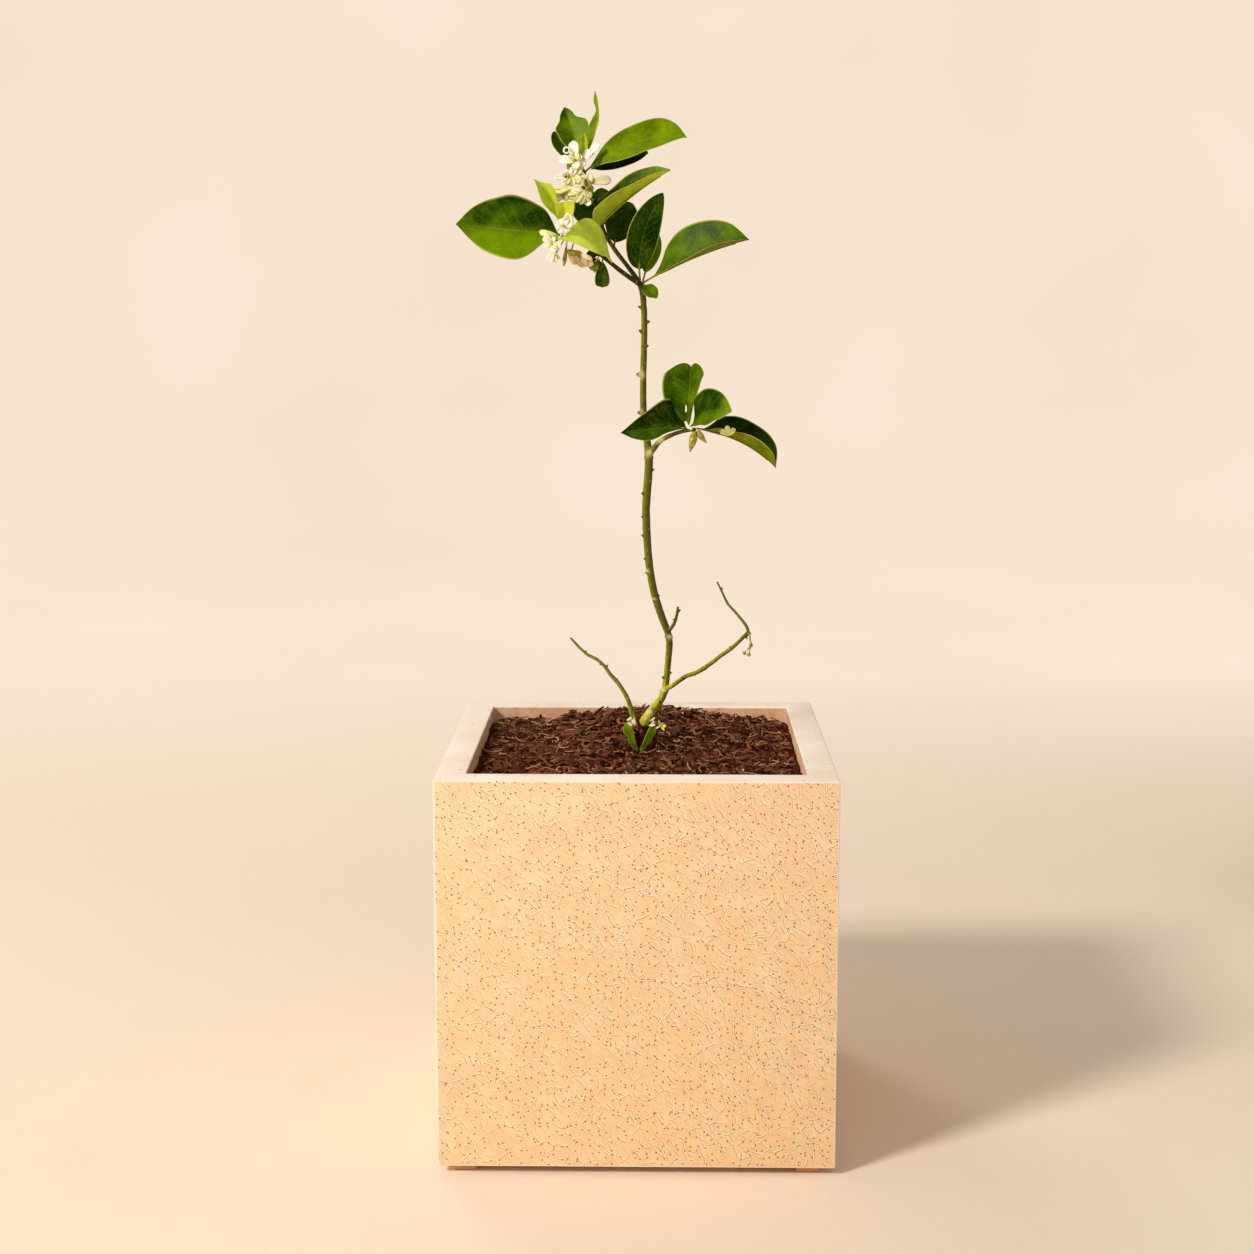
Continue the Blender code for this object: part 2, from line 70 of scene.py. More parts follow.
class Finish:
    """A material being mixed: a Principled shader and the nodes that feed it."""

    def __init__(self, name, **settings):
        self.material = bpy.data.materials.new(name)
        self.material.use_nodes = True
        self.tree = self.material.node_tree
        self.shader = self.tree.nodes["Principled BSDF"]
        self.place = self.node("TexCoord").outputs["Object"]
        for socket, value in settings.items():
            self.feed(self.shader.inputs[socket.replace("_", " ")], value)

    def feed(self, socket, value):
        if isinstance(value, bpy.types.NodeSocket):
            self.tree.links.new(value, socket)
        else:
            socket.default_value = value

    def node(self, kind, inputs=None, **settings):
        node = self.tree.nodes.new(f"ShaderNode{kind}")
        for name, value in settings.items():
            setattr(node, name, value)
        for socket, value in (inputs or {}).items():
            self.feed(node.inputs[socket], value)
        return node

    def math(self, operation, *values):
        return self.node("Math", dict(enumerate(values)), operation=operation).outputs[0]

    def vector(self, operation, first, second):
        return self.node("VectorMath", {0: first, 1: second}, operation=operation).outputs[0]

    def parts(self, vector):
        """The X, Y and Z of a place or a colour."""
        return self.node("SeparateXYZ", {0: vector}).outputs

    def noise(self, size, detail=3.0, place=None, roughness=0.5):
        """Noise with features of about this size in millimetres, from 0 to 1."""
        inputs = {
            "Vector": place or self.place, "Scale": 1 / (size * MM), "Detail": detail, "Roughness": roughness,
        }
        return self.node("TexNoise", inputs).outputs["Fac"]

    def cells(self, size, place=None, **settings):
        """Scattered cells of about this size in millimetres, each with its own chance as Color."""
        inputs = {"Vector": place or self.place, "Scale": 1 / (size * MM)}
        return self.node("TexVoronoi", inputs, **settings).outputs

    def specks(self, size, inner, outer, bare, place=None, **settings):
        """1 in a round speck in each cell of this size in millimetres, but for a bare share of them."""
        cells = self.cells(size, place, **settings)
        speck = self.range(cells["Distance"], inner, outer, 1.0, 0.0)
        return self.math("MULTIPLY", speck, self.range(self.parts(cells["Color"])["X"], *bare))

    def stretched(self, scale, turn=(0, 0, 0)):
        """The piece's own places, scaled and turned."""
        inputs = {"Vector": self.place, "Scale": scale, "Rotation": turn}
        return self.node("Mapping", inputs).outputs["Vector"]

    def range(self, value, low, high, to_low=0.0, to_high=1.0):
        """The value, with the stretch from low to high made to_low to to_high, and held at both ends."""
        inputs = {"Value": value, "From Min": low, "From Max": high, "To Min": to_low, "To Max": to_high}
        return self.node("MapRange", inputs, clamp=True).outputs["Result"]

    def ramp(self, value, *stops):
        node = self.node("ValToRGB", {"Fac": value})
        elements = node.color_ramp.elements
        while len(elements) < len(stops):
            elements.new(0.5)
        for element, (position, shade) in zip(elements, stops):
            element.position = position
            element.color = shade
        return node.outputs["Color"]

    def mix(self, share, first, second, blend="MIX"):
        node = self.node("Mix", {0: share, 6: first, 7: second}, data_type="RGBA", blend_type=blend)
        return node.outputs[2]

    def attribute(self, name, output="Color"):
        return self.node("Attribute", attribute_name=name).outputs[output]

    def bump(self, height, depth):
        """Relief of this depth in millimetres."""
        return self.node("Bump", {"Height": height, "Distance": depth * MM}).outputs["Normal"]

    def done(self, shade, normal=None):
        """The material, with this colour and relief."""
        self.feed(self.shader.inputs["Base Color"], shade)
        if normal is not None:
            self.feed(self.shader.inputs["Normal"], normal)
        return self.material


WHITE = (1, 1, 1, 1)
BLACK = (0, 0, 0, 1)


def mottled_finish(name, patch, dark, light, grain, depth, even=0.35, **settings):
    """A finish that wanders between two colours in patches, with a fine grain; sizes are in millimetres."""
    f = Finish(name, **settings)
    shade = f.ramp(f.noise(patch), (even, dark), (1 - even, light))
    return f.done(shade, normal=f.bump(f.noise(grain), depth))


# A layer of strokes in the stone's face: the size of the cell that holds one, where the pattern starts,
# how the strokes lean and how far they scatter round that in radians, their width, and the share of
# cells without one.
Strokes = namedtuple("Strokes", "cell start lean spread width bare")
STONE_STROKES = [
    Strokes(10.5, 0.37, 0.8, 0.9, 0.5, 0.35), Strokes(15.0, 4.1, 0.75, 0.8, 0.6, 0.4),
    Strokes(6.5, 9.3, 0.9, 1.6, 0.42, 0.35), Strokes(17.0, 2.2, -0.5, 0.9, 0.6, 0.5),
]
STROKE_BEND = 1.6
# Half a stroke's length as a share of its cell: the shortest, and how much the longest has more.
STROKE_LENGTH = (0.08, 0.36)
# Cracks in the face: the size of a patch between them in mm, and where the pattern starts; and the size
# of the cell that holds a pit.
STONE_CRACKS = [(23, 0.0), (16, 5.3)]
STONE_PITS = 7.2
# How far the strokes and cracks wander from their pattern, in metres.
STONE_WANDER = (0.005, 0.005, 0.005)


def stone_strokes(f, face, layer):
    """(pale, brown) for a layer of strokes: each pale one and the brown painted shadow below it."""
    scale = 1 / (layer.cell * MM)
    start = (layer.start, layer.start * 0.7, 0)
    moved = f.node("Mapping", {"Vector": face, "Location": start, "Scale": (scale, scale, 1)})
    moved = moved.outputs["Vector"]
    inputs = {"Vector": moved, "Scale": 1.0, "Randomness": 0.95}
    cells = f.node("TexVoronoi", inputs, voronoi_dimensions="2D").outputs
    chance = f.parts(cells["Color"])
    reach = f.vector("SUBTRACT", moved, cells["Position"])
    angle = f.math("MULTIPLY_ADD", chance["X"], layer.spread, layer.lean - layer.spread / 2)
    turned = f.node("VectorRotate", {"Vector": reach, "Angle": angle}, rotation_type="Z_AXIS")
    place = f.parts(turned.outputs[0])
    bend = f.math("MULTIPLY", f.math("SUBTRACT", chance["Y"], 0.5), STROKE_BEND)
    across = f.math("ADD", place["Y"], f.math("MULTIPLY", f.math("MULTIPLY", place["X"], place["X"]), bend))
    shortest, more = STROKE_LENGTH
    length = f.math("MULTIPLY_ADD", chance["Z"], more, shortest)
    inside = f.range(f.math("SUBTRACT", f.math("ABSOLUTE", place["X"]), length), -0.06, 0.02, 1.0, 0.0)
    inside = f.math("MULTIPLY", inside, f.range(chance["Z"], layer.bare - 0.01, layer.bare + 0.01))
    edge = layer.width / layer.cell
    pale = f.range(f.math("ABSOLUTE", across), edge * 0.3, edge, 1.0, 0.0)
    below = f.math("ABSOLUTE", f.math("ADD", across, edge * 1.3))
    brown = f.range(below, edge * 0.4, edge, 1.0, 0.0)
    return f.math("MULTIPLY", pale, inside), f.math("MULTIPLY", brown, inside)


def stone_cracks(f, face, cell, start):
    """(pale, brown) for broken cracks round patches of this size, each with the brown painted shadow
    beside it.
    """
    scale = 1 / (cell * MM)
    moved = f.node("Mapping", {"Vector": face, "Location": (start, start, 0), "Scale": (scale, scale, scale)})
    crackle = f.node(
        "TexVoronoi", {"Vector": moved.outputs["Vector"], "Scale": 1.0}, feature="DISTANCE_TO_EDGE",
        voronoi_dimensions="2D",
    )
    gap = crackle.outputs["Distance"]
    broken = f.range(f.noise(cell / 1.8, 1.0), 0.48, 0.56, 0.0, 0.9)
    pale = f.math("MULTIPLY", f.range(gap, 0.01, 0.028, 0.9, 0.0), broken)
    shaded = f.math("MULTIPLY", f.range(gap, 0.016, 0.026), f.range(gap, 0.034, 0.05, 1.0, 0.0))
    return pale, f.math("MULTIPLY", shaded, broken)


def stone_face_finish():
    """Peach cast stone worked with short slanting strokes and broken cracks, pale with a brown painted
    shadow along them, and with small brown pits."""
    f = Finish("cast_stone_worked", Roughness=0.75, Specular_IOR_Level=0.25)
    face = f.node("UVMap").outputs[0]
    wander = f.node("TexNoise", {"Vector": f.place, "Scale": 90.0, "Detail": 2.0}).outputs["Color"]
    wander = f.vector("MULTIPLY", f.vector("SUBTRACT", wander, (0.5, 0.5, 0.5)), STONE_WANDER)
    worked = f.vector("ADD", face, wander)
    layers = [stone_strokes(f, worked, layer) for layer in STONE_STROKES]
    layers += [stone_cracks(f, worked, cell, start) for cell, start in STONE_CRACKS]
    pale, brown = layers[0]
    for more_pale, more_brown in layers[1:]:
        pale = f.math("MAXIMUM", pale, more_pale)
        brown = f.math("MAXIMUM", brown, more_brown)
    pit = f.specks(STONE_PITS, 0.09, 0.13, (0.36, 0.42), face, voronoi_dimensions="2D")
    shade = f.ramp(
        f.noise(28),
        (0.33, colour(252, 203, 154)), (0.5, colour(251, 209, 157)), (0.66, colour(253, 216, 170)),
    )
    shade = f.mix(f.range(f.noise(5), 0.5, 0.72, 0.0, 0.5), shade, colour(252, 222, 172))
    warm = f.range(f.noise(7, place=f.stretched((1, 1, 1), (0.4, 0.2, 0.7))), 0.58, 0.74, 0.0, 0.3)
    shade = f.mix(warm, shade, colour(246, 184, 132))
    # The brown beside each raised pale stroke and crack is a painted shadow.
    shade = f.mix(f.math("MULTIPLY", brown, 0.85), shade, colour(198, 116, 46))
    shade = f.mix(f.math("MULTIPLY", pale, 0.9), shade, colour(255, 250, 216))
    shade = f.mix(f.math("MULTIPLY", pit, 0.95), shade, colour(124, 54, 0))
    relief = f.math("MULTIPLY_ADD", f.noise(2.2), 0.3, pale)
    return f.done(shade, normal=f.bump(relief, 0.06))


def stone_rim_finish():
    """The smooth cast rim and rounded edges: pale, partly the stone's own smooth face and partly a painted
    highlight, with a few specks.
    """
    f = Finish("cast_stone_smooth", Roughness=0.6, Specular_IOR_Level=0.3)
    speck = f.specks(13, 0.07, 0.1, (0.3, 0.35))
    shade = f.ramp(
        f.noise(60),
        (0.35, colour(252, 228, 204)), (0.5, colour(254, 237, 219)), (0.65, colour(255, 243, 228)),
    )
    shade = f.mix(f.range(f.noise(9, 4.0), 0.52, 0.75, 0.0, 0.35), shade, colour(246, 206, 172))
    shade = f.mix(f.math("MULTIPLY", speck, 0.85), shade, colour(120, 74, 44))
    return f.done(shade, normal=f.bump(f.noise(1.8), 0.1))


def stone_inside_finish():
    """The cavity's walls, darker and stained, with painted light making the shaded left wall paler."""
    f = Finish("cast_stone_inner_wall", Roughness=0.85, Specular_IOR_Level=0.2)
    speck = f.range(f.cells(10)["Distance"], 0.06, 0.12, 0.6, 0.0)
    shade = f.ramp(f.noise(30), (0.3, colour(212, 164, 124)), (0.7, colour(232, 186, 144)))
    shade = f.mix(f.range(f.noise(8, 4.0), 0.5, 0.7, 0.0, 0.5), shade, colour(176, 120, 84))
    # Painted light: the left wall, which the lamps leave in shade, is made paler.
    painted_light_left_wall = f.range(f.parts(f.place)["X"], -0.175, -0.17, 0.85, 0.0)
    shade = f.mix(painted_light_left_wall, shade, colour(254, 230, 200))
    return f.done(f.mix(speck, shade, colour(120, 80, 55)), normal=f.bump(f.noise(2), 0.2))


def foot_finish():
    return mottled_finish(
        "cast_stone_foot", 6, colour(200, 142, 96), colour(228, 170, 120), 1.5, 0.15, even=0.3,
        Roughness=0.85, Specular_IOR_Level=0.2,
    )


def soil_finish():
    f = Finish("potting_soil_ground", Roughness=0.95, Specular_IOR_Level=0.1)
    shade = f.ramp(
        f.noise(6, 6.0, roughness=0.7),
        (0.3, colour(26, 4, 0)), (0.46, colour(66, 24, 6)),
        (0.6, colour(100, 46, 20)), (0.78, colour(134, 74, 40)),
    )
    return f.done(shade, normal=f.bump(f.noise(1.6, 6.0), 0.9))


def fibre_finish():
    """Shreds and crumbs: each has its own tint, streaked."""
    f = Finish("soil_fibre", Roughness=0.8, Specular_IOR_Level=0.15)
    streak = f.noise(1.0, 3.0)
    shade = f.mix(f.range(streak, 0.4, 0.7, 0.0, 0.6), f.attribute("tint"), colour(48, 20, 8))
    return f.done(shade, normal=f.bump(streak, 0.2))


def perlite_finish():
    return mottled_finish(
        "perlite", 1.5, colour(214, 190, 165), colour(250, 238, 222), 0.8, 0.2, even=0.3, Roughness=0.8
    )


def bark_finish():
    """Green bark: yellow at the foot, olive above, streaked lengthwise, with pale and brown marks; painted
    shade darkens its right side and painted light its left, and one pale mark is a painted highlight.
    """
    f = Finish("green_bark", Roughness=0.55, Specular_IOR_Level=0.15)
    streaks = f.noise(2.0, 4.0, f.stretched((1, 1, 0.14)))
    shade = f.ramp(
        f.attribute("age_and_painted_shading", "Fac"),
        (0.0, colour(222, 204, 66)), (0.25, colour(150, 146, 16)), (0.5, colour(98, 96, 8)),
        (0.8, colour(92, 86, 18)), (1.0, colour(56, 54, 14)),
    )
    shade = f.mix(f.range(streaks, 0.44, 0.62, 0.0, 0.6), shade, colour(58, 56, 8))
    shade = f.mix(f.range(streaks, 0.56, 0.8, 0.0, 0.55), shade, colour(186, 172, 76))
    shade = f.mix(f.range(f.noise(3.4), 0.62, 0.72, 0.0, 0.7), shade, colour(84, 54, 20))
    speck = f.range(f.cells(4.5, f.stretched((1, 1, 0.6)))["Distance"], 0.06, 0.14, 0.5, 0.0)
    shade = f.mix(speck, shade, colour(214, 204, 128))
    # Pale cork marks, one of them a painted highlight.
    shade = f.mix(f.math("MULTIPLY", f.attribute("cork_and_painted_highlight", "Fac"), 0.85), shade, colour(228, 214, 140))
    shade = f.mix(f.math("MULTIPLY", f.attribute("scar", "Fac"), 0.8), shade, colour(64, 40, 14))
    relief = f.math("ADD", streaks, f.math("MULTIPLY", f.noise(0.8, 3.0), 0.4))
    return f.done(shade, normal=f.bump(relief, 0.4))


LEAF_VEIN_PAIRS = 9.0
LEAF_VEIN_SLANT = 4.2


def leaf_pattern(f):
    """(veins, midrib, margin): the leaf's own pattern, from its map."""
    place = f.parts(f.node("UVMap").outputs[0])
    across = f.math("ABSOLUTE", f.math("SUBTRACT", place["X"], 0.5))
    wobble = f.math("MULTIPLY", f.math("SUBTRACT", f.noise(12, 2.0), 0.5), 0.9)
    slant = f.math("MULTIPLY", across, -LEAF_VEIN_SLANT)
    wave = f.math("MULTIPLY_ADD", place["Y"], LEAF_VEIN_PAIRS, slant)
    veins = f.range(f.math("PINGPONG", f.math("ADD", wave, wobble), 0.5), 0.0, 0.16, 1.0, 0.0)
    veins = f.math("MULTIPLY", veins, f.range(across, 0.3, 0.47, 1.0, 0.0))
    midrib = f.range(across, 0.006, 0.026, 1.0, 0.0)
    margin = f.range(across, 0.468, 0.492)
    return veins, midrib, margin


def leaf_top_finish():
    """Upper side: the leaf's tint with its painted light and shade, dappled, with faint veins and midrib
    and a paler margin.
    """
    f = Finish("leaf_upper_side", Roughness=0.33, Specular_IOR_Level=0.025)
    veins, midrib, margin = leaf_pattern(f)
    tint = f.attribute("tint")
    bright = f.mix(1.0, tint, colour(220, 226, 60), "ADD")
    shade = f.mix(f.range(f.noise(11, 4.0), 0.38, 0.62, 0.16, 0.0), tint, colour(10, 30, 0))
    shade = f.mix(f.range(f.noise(17, 4.0, roughness=0.6), 0.5, 0.72, 0.0, 0.05), shade, bright)
    shade = f.mix(f.range(f.noise(2.6, 3.0), 0.5, 0.75, 0.0, 0.05), shade, bright)
    shade = f.mix(f.math("MULTIPLY", veins, 0.03), shade, bright)
    shade = f.mix(f.math("MULTIPLY", midrib, 0.07), shade, bright)
    shade = f.mix(f.math("MULTIPLY", margin, 0.55), shade, colour(206, 204, 84))
    relief = f.math("MULTIPLY_ADD", veins, -0.5, f.math("MULTIPLY", f.noise(3.5, 3.0), 0.8))
    return f.done(shade, normal=f.bump(relief, 0.12))


def leaf_under_finish():
    """Matt underside: olive in the leaf's tint with its painted light and shade, with raised veins."""
    f = Finish("leaf_underside", Roughness=0.65, Specular_IOR_Level=0.08)
    veins, midrib, margin = leaf_pattern(f)
    tint = f.attribute("tint")
    shade = f.mix(f.range(f.noise(10, 3.0), 0.38, 0.66, 0.25, 0.0), tint, colour(52, 60, 0))
    pale = f.mix(0.5, tint, colour(196, 196, 70))
    shade = f.mix(f.math("MULTIPLY", f.math("MAXIMUM", veins, midrib), 0.22), shade, pale)
    shade = f.mix(f.math("MULTIPLY", margin, 0.5), shade, colour(206, 200, 90))
    relief = f.math("MULTIPLY_ADD", veins, 0.8, f.math("MULTIPLY", f.noise(2.5, 3.0), 0.5))
    return f.done(shade, normal=f.bump(relief, 0.25))


def leaf_margin_finish():
    f = Finish("leaf_margin", Roughness=0.5, Specular_IOR_Level=0.3)
    shade = f.mix(0.55, f.attribute("tint"), colour(216, 208, 96))
    return f.done(f.mix(f.range(f.noise(4), 0.4, 0.7, 0.0, 0.4), shade, colour(140, 138, 34)))


def leaf_stalk_finish():
    """Stalk and midrib, of the leaf's tint with its painted light and shade, paler."""
    f = Finish("leaf_stalk", Roughness=0.5, Specular_IOR_Level=0.3)
    pale = f.ramp(f.noise(3, 3.0), (0.35, colour(120, 126, 18)), (0.65, colour(176, 174, 50)))
    return f.done(f.mix(0.22, f.attribute("tint"), pale), normal=f.bump(f.noise(0.8), 0.1))


def petal_finish():
    """White waxy petal, greener towards its foot, with faint lengthwise lines."""
    f = Finish("petal", Roughness=0.5, Specular_IOR_Level=0.25)
    place = f.parts(f.node("UVMap").outputs[0])
    lines = f.math("PINGPONG", f.math("MULTIPLY", place["X"], 7.0), 0.5)
    shade = f.ramp(
        place["Y"],
        (0.0, colour(222, 214, 120)), (0.25, colour(248, 240, 200)), (0.55, colour(255, 251, 238)),
    )
    shade = f.mix(1.0, shade, f.attribute("tint"), "MULTIPLY")
    shade = f.mix(f.range(lines, 0.0, 0.12, 0.1, 0.0), shade, colour(214, 204, 164))
    return f.done(shade, normal=f.bump(lines, 0.1))


def calyx_finish():
    return mottled_finish(
        "calyx_and_stalk", 2.5, colour(146, 146, 34), colour(204, 196, 84), 0.8, 0.12, Roughness=0.5
    )


def anther_finish():
    return mottled_finish("anthers", 1.2, colour(196, 136, 30), colour(244, 204, 84), 0.5, 0.1, Roughness=0.7)


def filament_finish():
    """Smooth pale threads, so with no grain."""
    f = Finish("filaments", Roughness=0.5)
    return f.done(f.ramp(f.noise(2), (0.35, colour(232, 226, 180)), (0.65, colour(252, 248, 226))))


def spent_finish():
    """Withered olive and straw of a spent flower."""
    f = Finish("spent_flower", Roughness=0.65)
    shade = f.ramp(
        f.noise(4, 4.0),
        (0.3, colour(112, 92, 24)), (0.5, colour(160, 146, 40)), (0.72, colour(214, 196, 96)),
    )
    return f.done(shade, normal=f.bump(f.noise(0.9, 4.0), 0.3))


def fruitlet_finish():
    return mottled_finish("fruitlet", 3, colour(92, 100, 8), colour(140, 144, 24), 0.7, 0.15, Roughness=0.4)


def stage_finish():
    """Plain pale warm floor and backdrop, evenly lit far behind the pot for the camera and for gloss."""
    f = Finish("pale_floor", Roughness=0.9, Specular_IOR_Level=0.1)
    pale = f.ramp(f.noise(900, 2.0), (0.3, colour(246, 226, 204)), (0.7, colour(248, 230, 210)))
    place = f.parts(f.place)
    far = f.math("MAXIMUM", f.range(place["Y"], 0.9, 2.6), f.range(place["Z"], 0.0, 0.2))
    rays = f.node("LightPath").outputs
    glow = f.math("MULTIPLY", far, f.math("MAXIMUM", rays["Is Camera Ray"], rays["Is Glossy Ray"]))
    f.feed(f.shader.inputs["Emission Color"], pale)
    f.feed(f.shader.inputs["Emission Strength"], glow)
    return f.done(f.mix(glow, pale, BLACK))


# ---------------------------------------------------------------- shared shaping


def new_piece(name, bm, *materials):
    """A smooth-shaded object at the origin holding this shape, with its materials in order."""
    mesh = bpy.data.meshes.new(name)
    bm.to_mesh(mesh)
    bm.free()
    for material in materials:
        mesh.materials.append(material)
    mesh.shade_smooth()
    piece = bpy.data.objects.new(name, mesh)
    bpy.context.scene.collection.objects.link(piece)
    return piece


def settled(piece, slot, *nodes):
    """The piece rides on the pot's body and stands for these nodes; slot is not used."""
    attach(piece, "root")
    if nodes:
        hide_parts(*nodes)


def apply_modifiers(piece):
    """Makes the piece's modifiers part of its mesh."""
    graph = bpy.context.evaluated_depsgraph_get()
    finished = piece.evaluated_get(graph)
    mesh = bpy.data.meshes.new_from_object(finished, preserve_all_data_layers=True, depsgraph=graph)
    piece.modifiers.clear()
    old = piece.data
    piece.data = mesh
    bpy.data.meshes.remove(old)


def between(before, start, end, after, share):
    """A Catmull-Rom curve from start to end, at this share of the way."""
    return (
        start
        + (end - before) * (share / 2)
        + (before * 2 - start * 5 + end * 4 - after) * (share * share / 2)
        + (start * 3 - before - end * 3 + after) * (share**3 / 2)
    )


def smooth_route(route, steps):
    """Points along a Catmull-Rom curve through the route, its radius included."""
    points = [Vector(point) for point in route]
    ends = [points[0] * 2 - points[1], *points, points[-1] * 2 - points[-2]]
    smooth = []
    for stretch in zip(ends, ends[1:], ends[2:], ends[3:]):
        smooth += [between(*stretch, step / steps) for step in range(steps)]
    return [*smooth, points[-1]]


def joined_to(verts, kind):
    """The link_edges or link_faces of these corners, each once and always in the same order."""
    return list(dict.fromkeys(item for vert in verts for item in getattr(vert, kind)))


def limb(bm, points, sides=12, material=0):
    """A round limb through points of x, y, z and radius in mm, closed, and rounded at its last end."""
    points = [Vector(point) for point in points]
    heading = (points[-1] - points[-2]).to_3d().normalized()
    tip, radius = points[-1].to_3d(), points[-1][3]
    for reach, share in ((0.5, 0.85), (0.85, 0.5)):
        points.append(Vector((*(tip + heading * radius * reach), radius * share)))
    places = [point.to_3d() for point in points]
    ring, start, side, before = None, None, None, None
    made = []
    for i, place in enumerate(places):
        heading = (places[min(i + 1, len(places) - 1)] - places[max(i - 1, 0)]).normalized()
        side = heading.orthogonal() if side is None else side - heading * side.dot(heading)
        side.normalize()
        radius = points[i][3] * MM
        turn = Matrix((side, heading.cross(side), heading)).transposed().to_4x4()
        here = Matrix.Translation(place * MM) @ turn @ Matrix.Diagonal((radius, radius, radius, 1))
        if ring is None:
            verts = bmesh.ops.create_circle(bm, segments=sides, radius=1.0, matrix=here)["verts"]
            ring = joined_to(verts, "link_edges")
            start = ring
        else:
            grown = bmesh.ops.extrude_edge_only(bm, edges=ring)["geom"]
            verts = [item for item in grown if isinstance(item, bmesh.types.BMVert)]
            ring = [item for item in grown if isinstance(item, bmesh.types.BMEdge) and item.is_boundary]
            made += [item for item in grown if isinstance(item, bmesh.types.BMFace)]
            bmesh.ops.transform(bm, matrix=here @ before.inverted(), verts=verts)
        before = here
    for loop in (start, ring):
        made += bmesh.ops.edgeloop_fill(bm, edges=loop)["faces"]
    bmesh.ops.recalc_face_normals(bm, faces=made)
    for face in made:
        face.material_index = material
        face.smooth = True


def knob(bm, place, radii, axis=(0, 0, 1), material=0, subdivisions=2):
    """A small rounded lump at place with radii across and along axis, all in mm."""
    turn = Vector(axis).to_track_quat("Z", "Y").to_matrix().to_4x4()
    size = Matrix.Diagonal((radii[0] * MM, radii[0] * MM, radii[1] * MM, 1))
    matrix = Matrix.Translation(Vector(place) * MM) @ turn @ size
    made = bmesh.ops.create_icosphere(bm, subdivisions=subdivisions, radius=1.0, matrix=matrix)["verts"]
    for face in joined_to(made, "link_faces"):
        face.material_index = material
        face.smooth = True


# ---------------------------------------------------------------- places in the part


def part_shape(node):
    """A copy of the part's own shape for this node, with its doubled corners merged."""
    bm = bmesh.new()
    bm.from_mesh(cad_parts[node].data)
    bmesh.ops.remove_doubles(bm, verts=bm.verts, dist=0.01 * MM)
    return bm


def bark_surface():
    """The part's stem, for finding the nearest place on it."""
    bm = part_shape("woody_stem")
    surface = BVHTree.FromBMesh(bm)
    bm.free()
    return surface


BARK = bark_surface()


def part_ends(node, standing=False):
    """The two far ends of the part's node in mm: the one on the stem first, or the lower one if standing."""
    points = [vert.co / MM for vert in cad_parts[node].data.vertices]
    middle = sum(points, Vector()) / len(points)
    first = max(points, key=lambda point: (point - middle).length)
    second = max(points, key=lambda point: (point - first).length)
    if standing:
        return sorted((first, second), key=lambda point: point.z)
    return sorted((first, second), key=lambda point: BARK.find_nearest(point * MM)[3])


def part_head(node, root):
    """The middle of a blossom's head in mm: half its smallest side in from the faces farthest from root."""
    low, high = (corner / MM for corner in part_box(node))
    radius = min(high - low) / 2
    head = []
    for least, most, start in zip(low, high, root):
        head.append(least + radius if start - least > most - start else most - radius)
    return Vector(head)


def limbs_at(height):
    """The stem's limbs that a level cut meets, from left to right, as middle and radius in mm."""
    bm = part_shape("woody_stem")
    whole = [*bm.verts, *bm.edges, *bm.faces]
    level = (0, 0, height * MM)
    cut = bmesh.ops.bisect_plane(bm, geom=whole, plane_co=level, plane_no=(0, 0, 1))["geom_cut"]
    edges = [item for item in cut if isinstance(item, bmesh.types.BMEdge)]
    waiting = dict.fromkeys(vert for edge in edges for vert in edge.verts)
    limbs = []
    while waiting:
        loop, fringe = [], [waiting.popitem()[0]]
        while fringe:
            vert = fringe.pop()
            loop.append(vert.co / MM)
            for edge in vert.link_edges:
                other = edge.other_vert(vert)
                if edge in edges and other in waiting:
                    del waiting[other]
                    fringe.append(other)
        middle = sum(loop, Vector()) / len(loop)
        limbs.append((middle, sum((point - middle).length for point in loop) / len(loop)))
    bm.free()
    return sorted(limbs, key=lambda limb_cut: limb_cut[0].x)


def on_bark(height, limb_number, turn):
    """A spot on the stem in mm: how high, on which limb from the left, turned from right through front."""
    middle, radius = limbs_at(height)[limb_number]
    angle = math.radians(turn)
    return middle + Vector((math.cos(angle), -math.sin(angle), 0)) * radius


# ---------------------------------------------------------------- planter


# The gap between the soil and the cavity's wall and floor in the part.
SOIL_GAP = 0.3 * MM
PLANTER_ROUNDING = 1.6 * MM
FOOT_ROUNDING = 1.5 * MM


def block(node):
    """A plain block that fills the box of the part's node."""
    low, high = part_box(node)
    bm = bmesh.new()
    bmesh.ops.create_cube(bm, size=1.0)
    bmesh.ops.scale(bm, vec=high - low, verts=bm.verts)
    bmesh.ops.translate(bm, vec=(high + low) / 2, verts=bm.verts)
    return bm


def round_edges(bm, edges, radius, segments):
    bmesh.ops.bevel(
        bm, geom=edges, offset=radius, offset_type="OFFSET", segments=segments, profile=0.5, affect="EDGES",
        material=-1,
    )


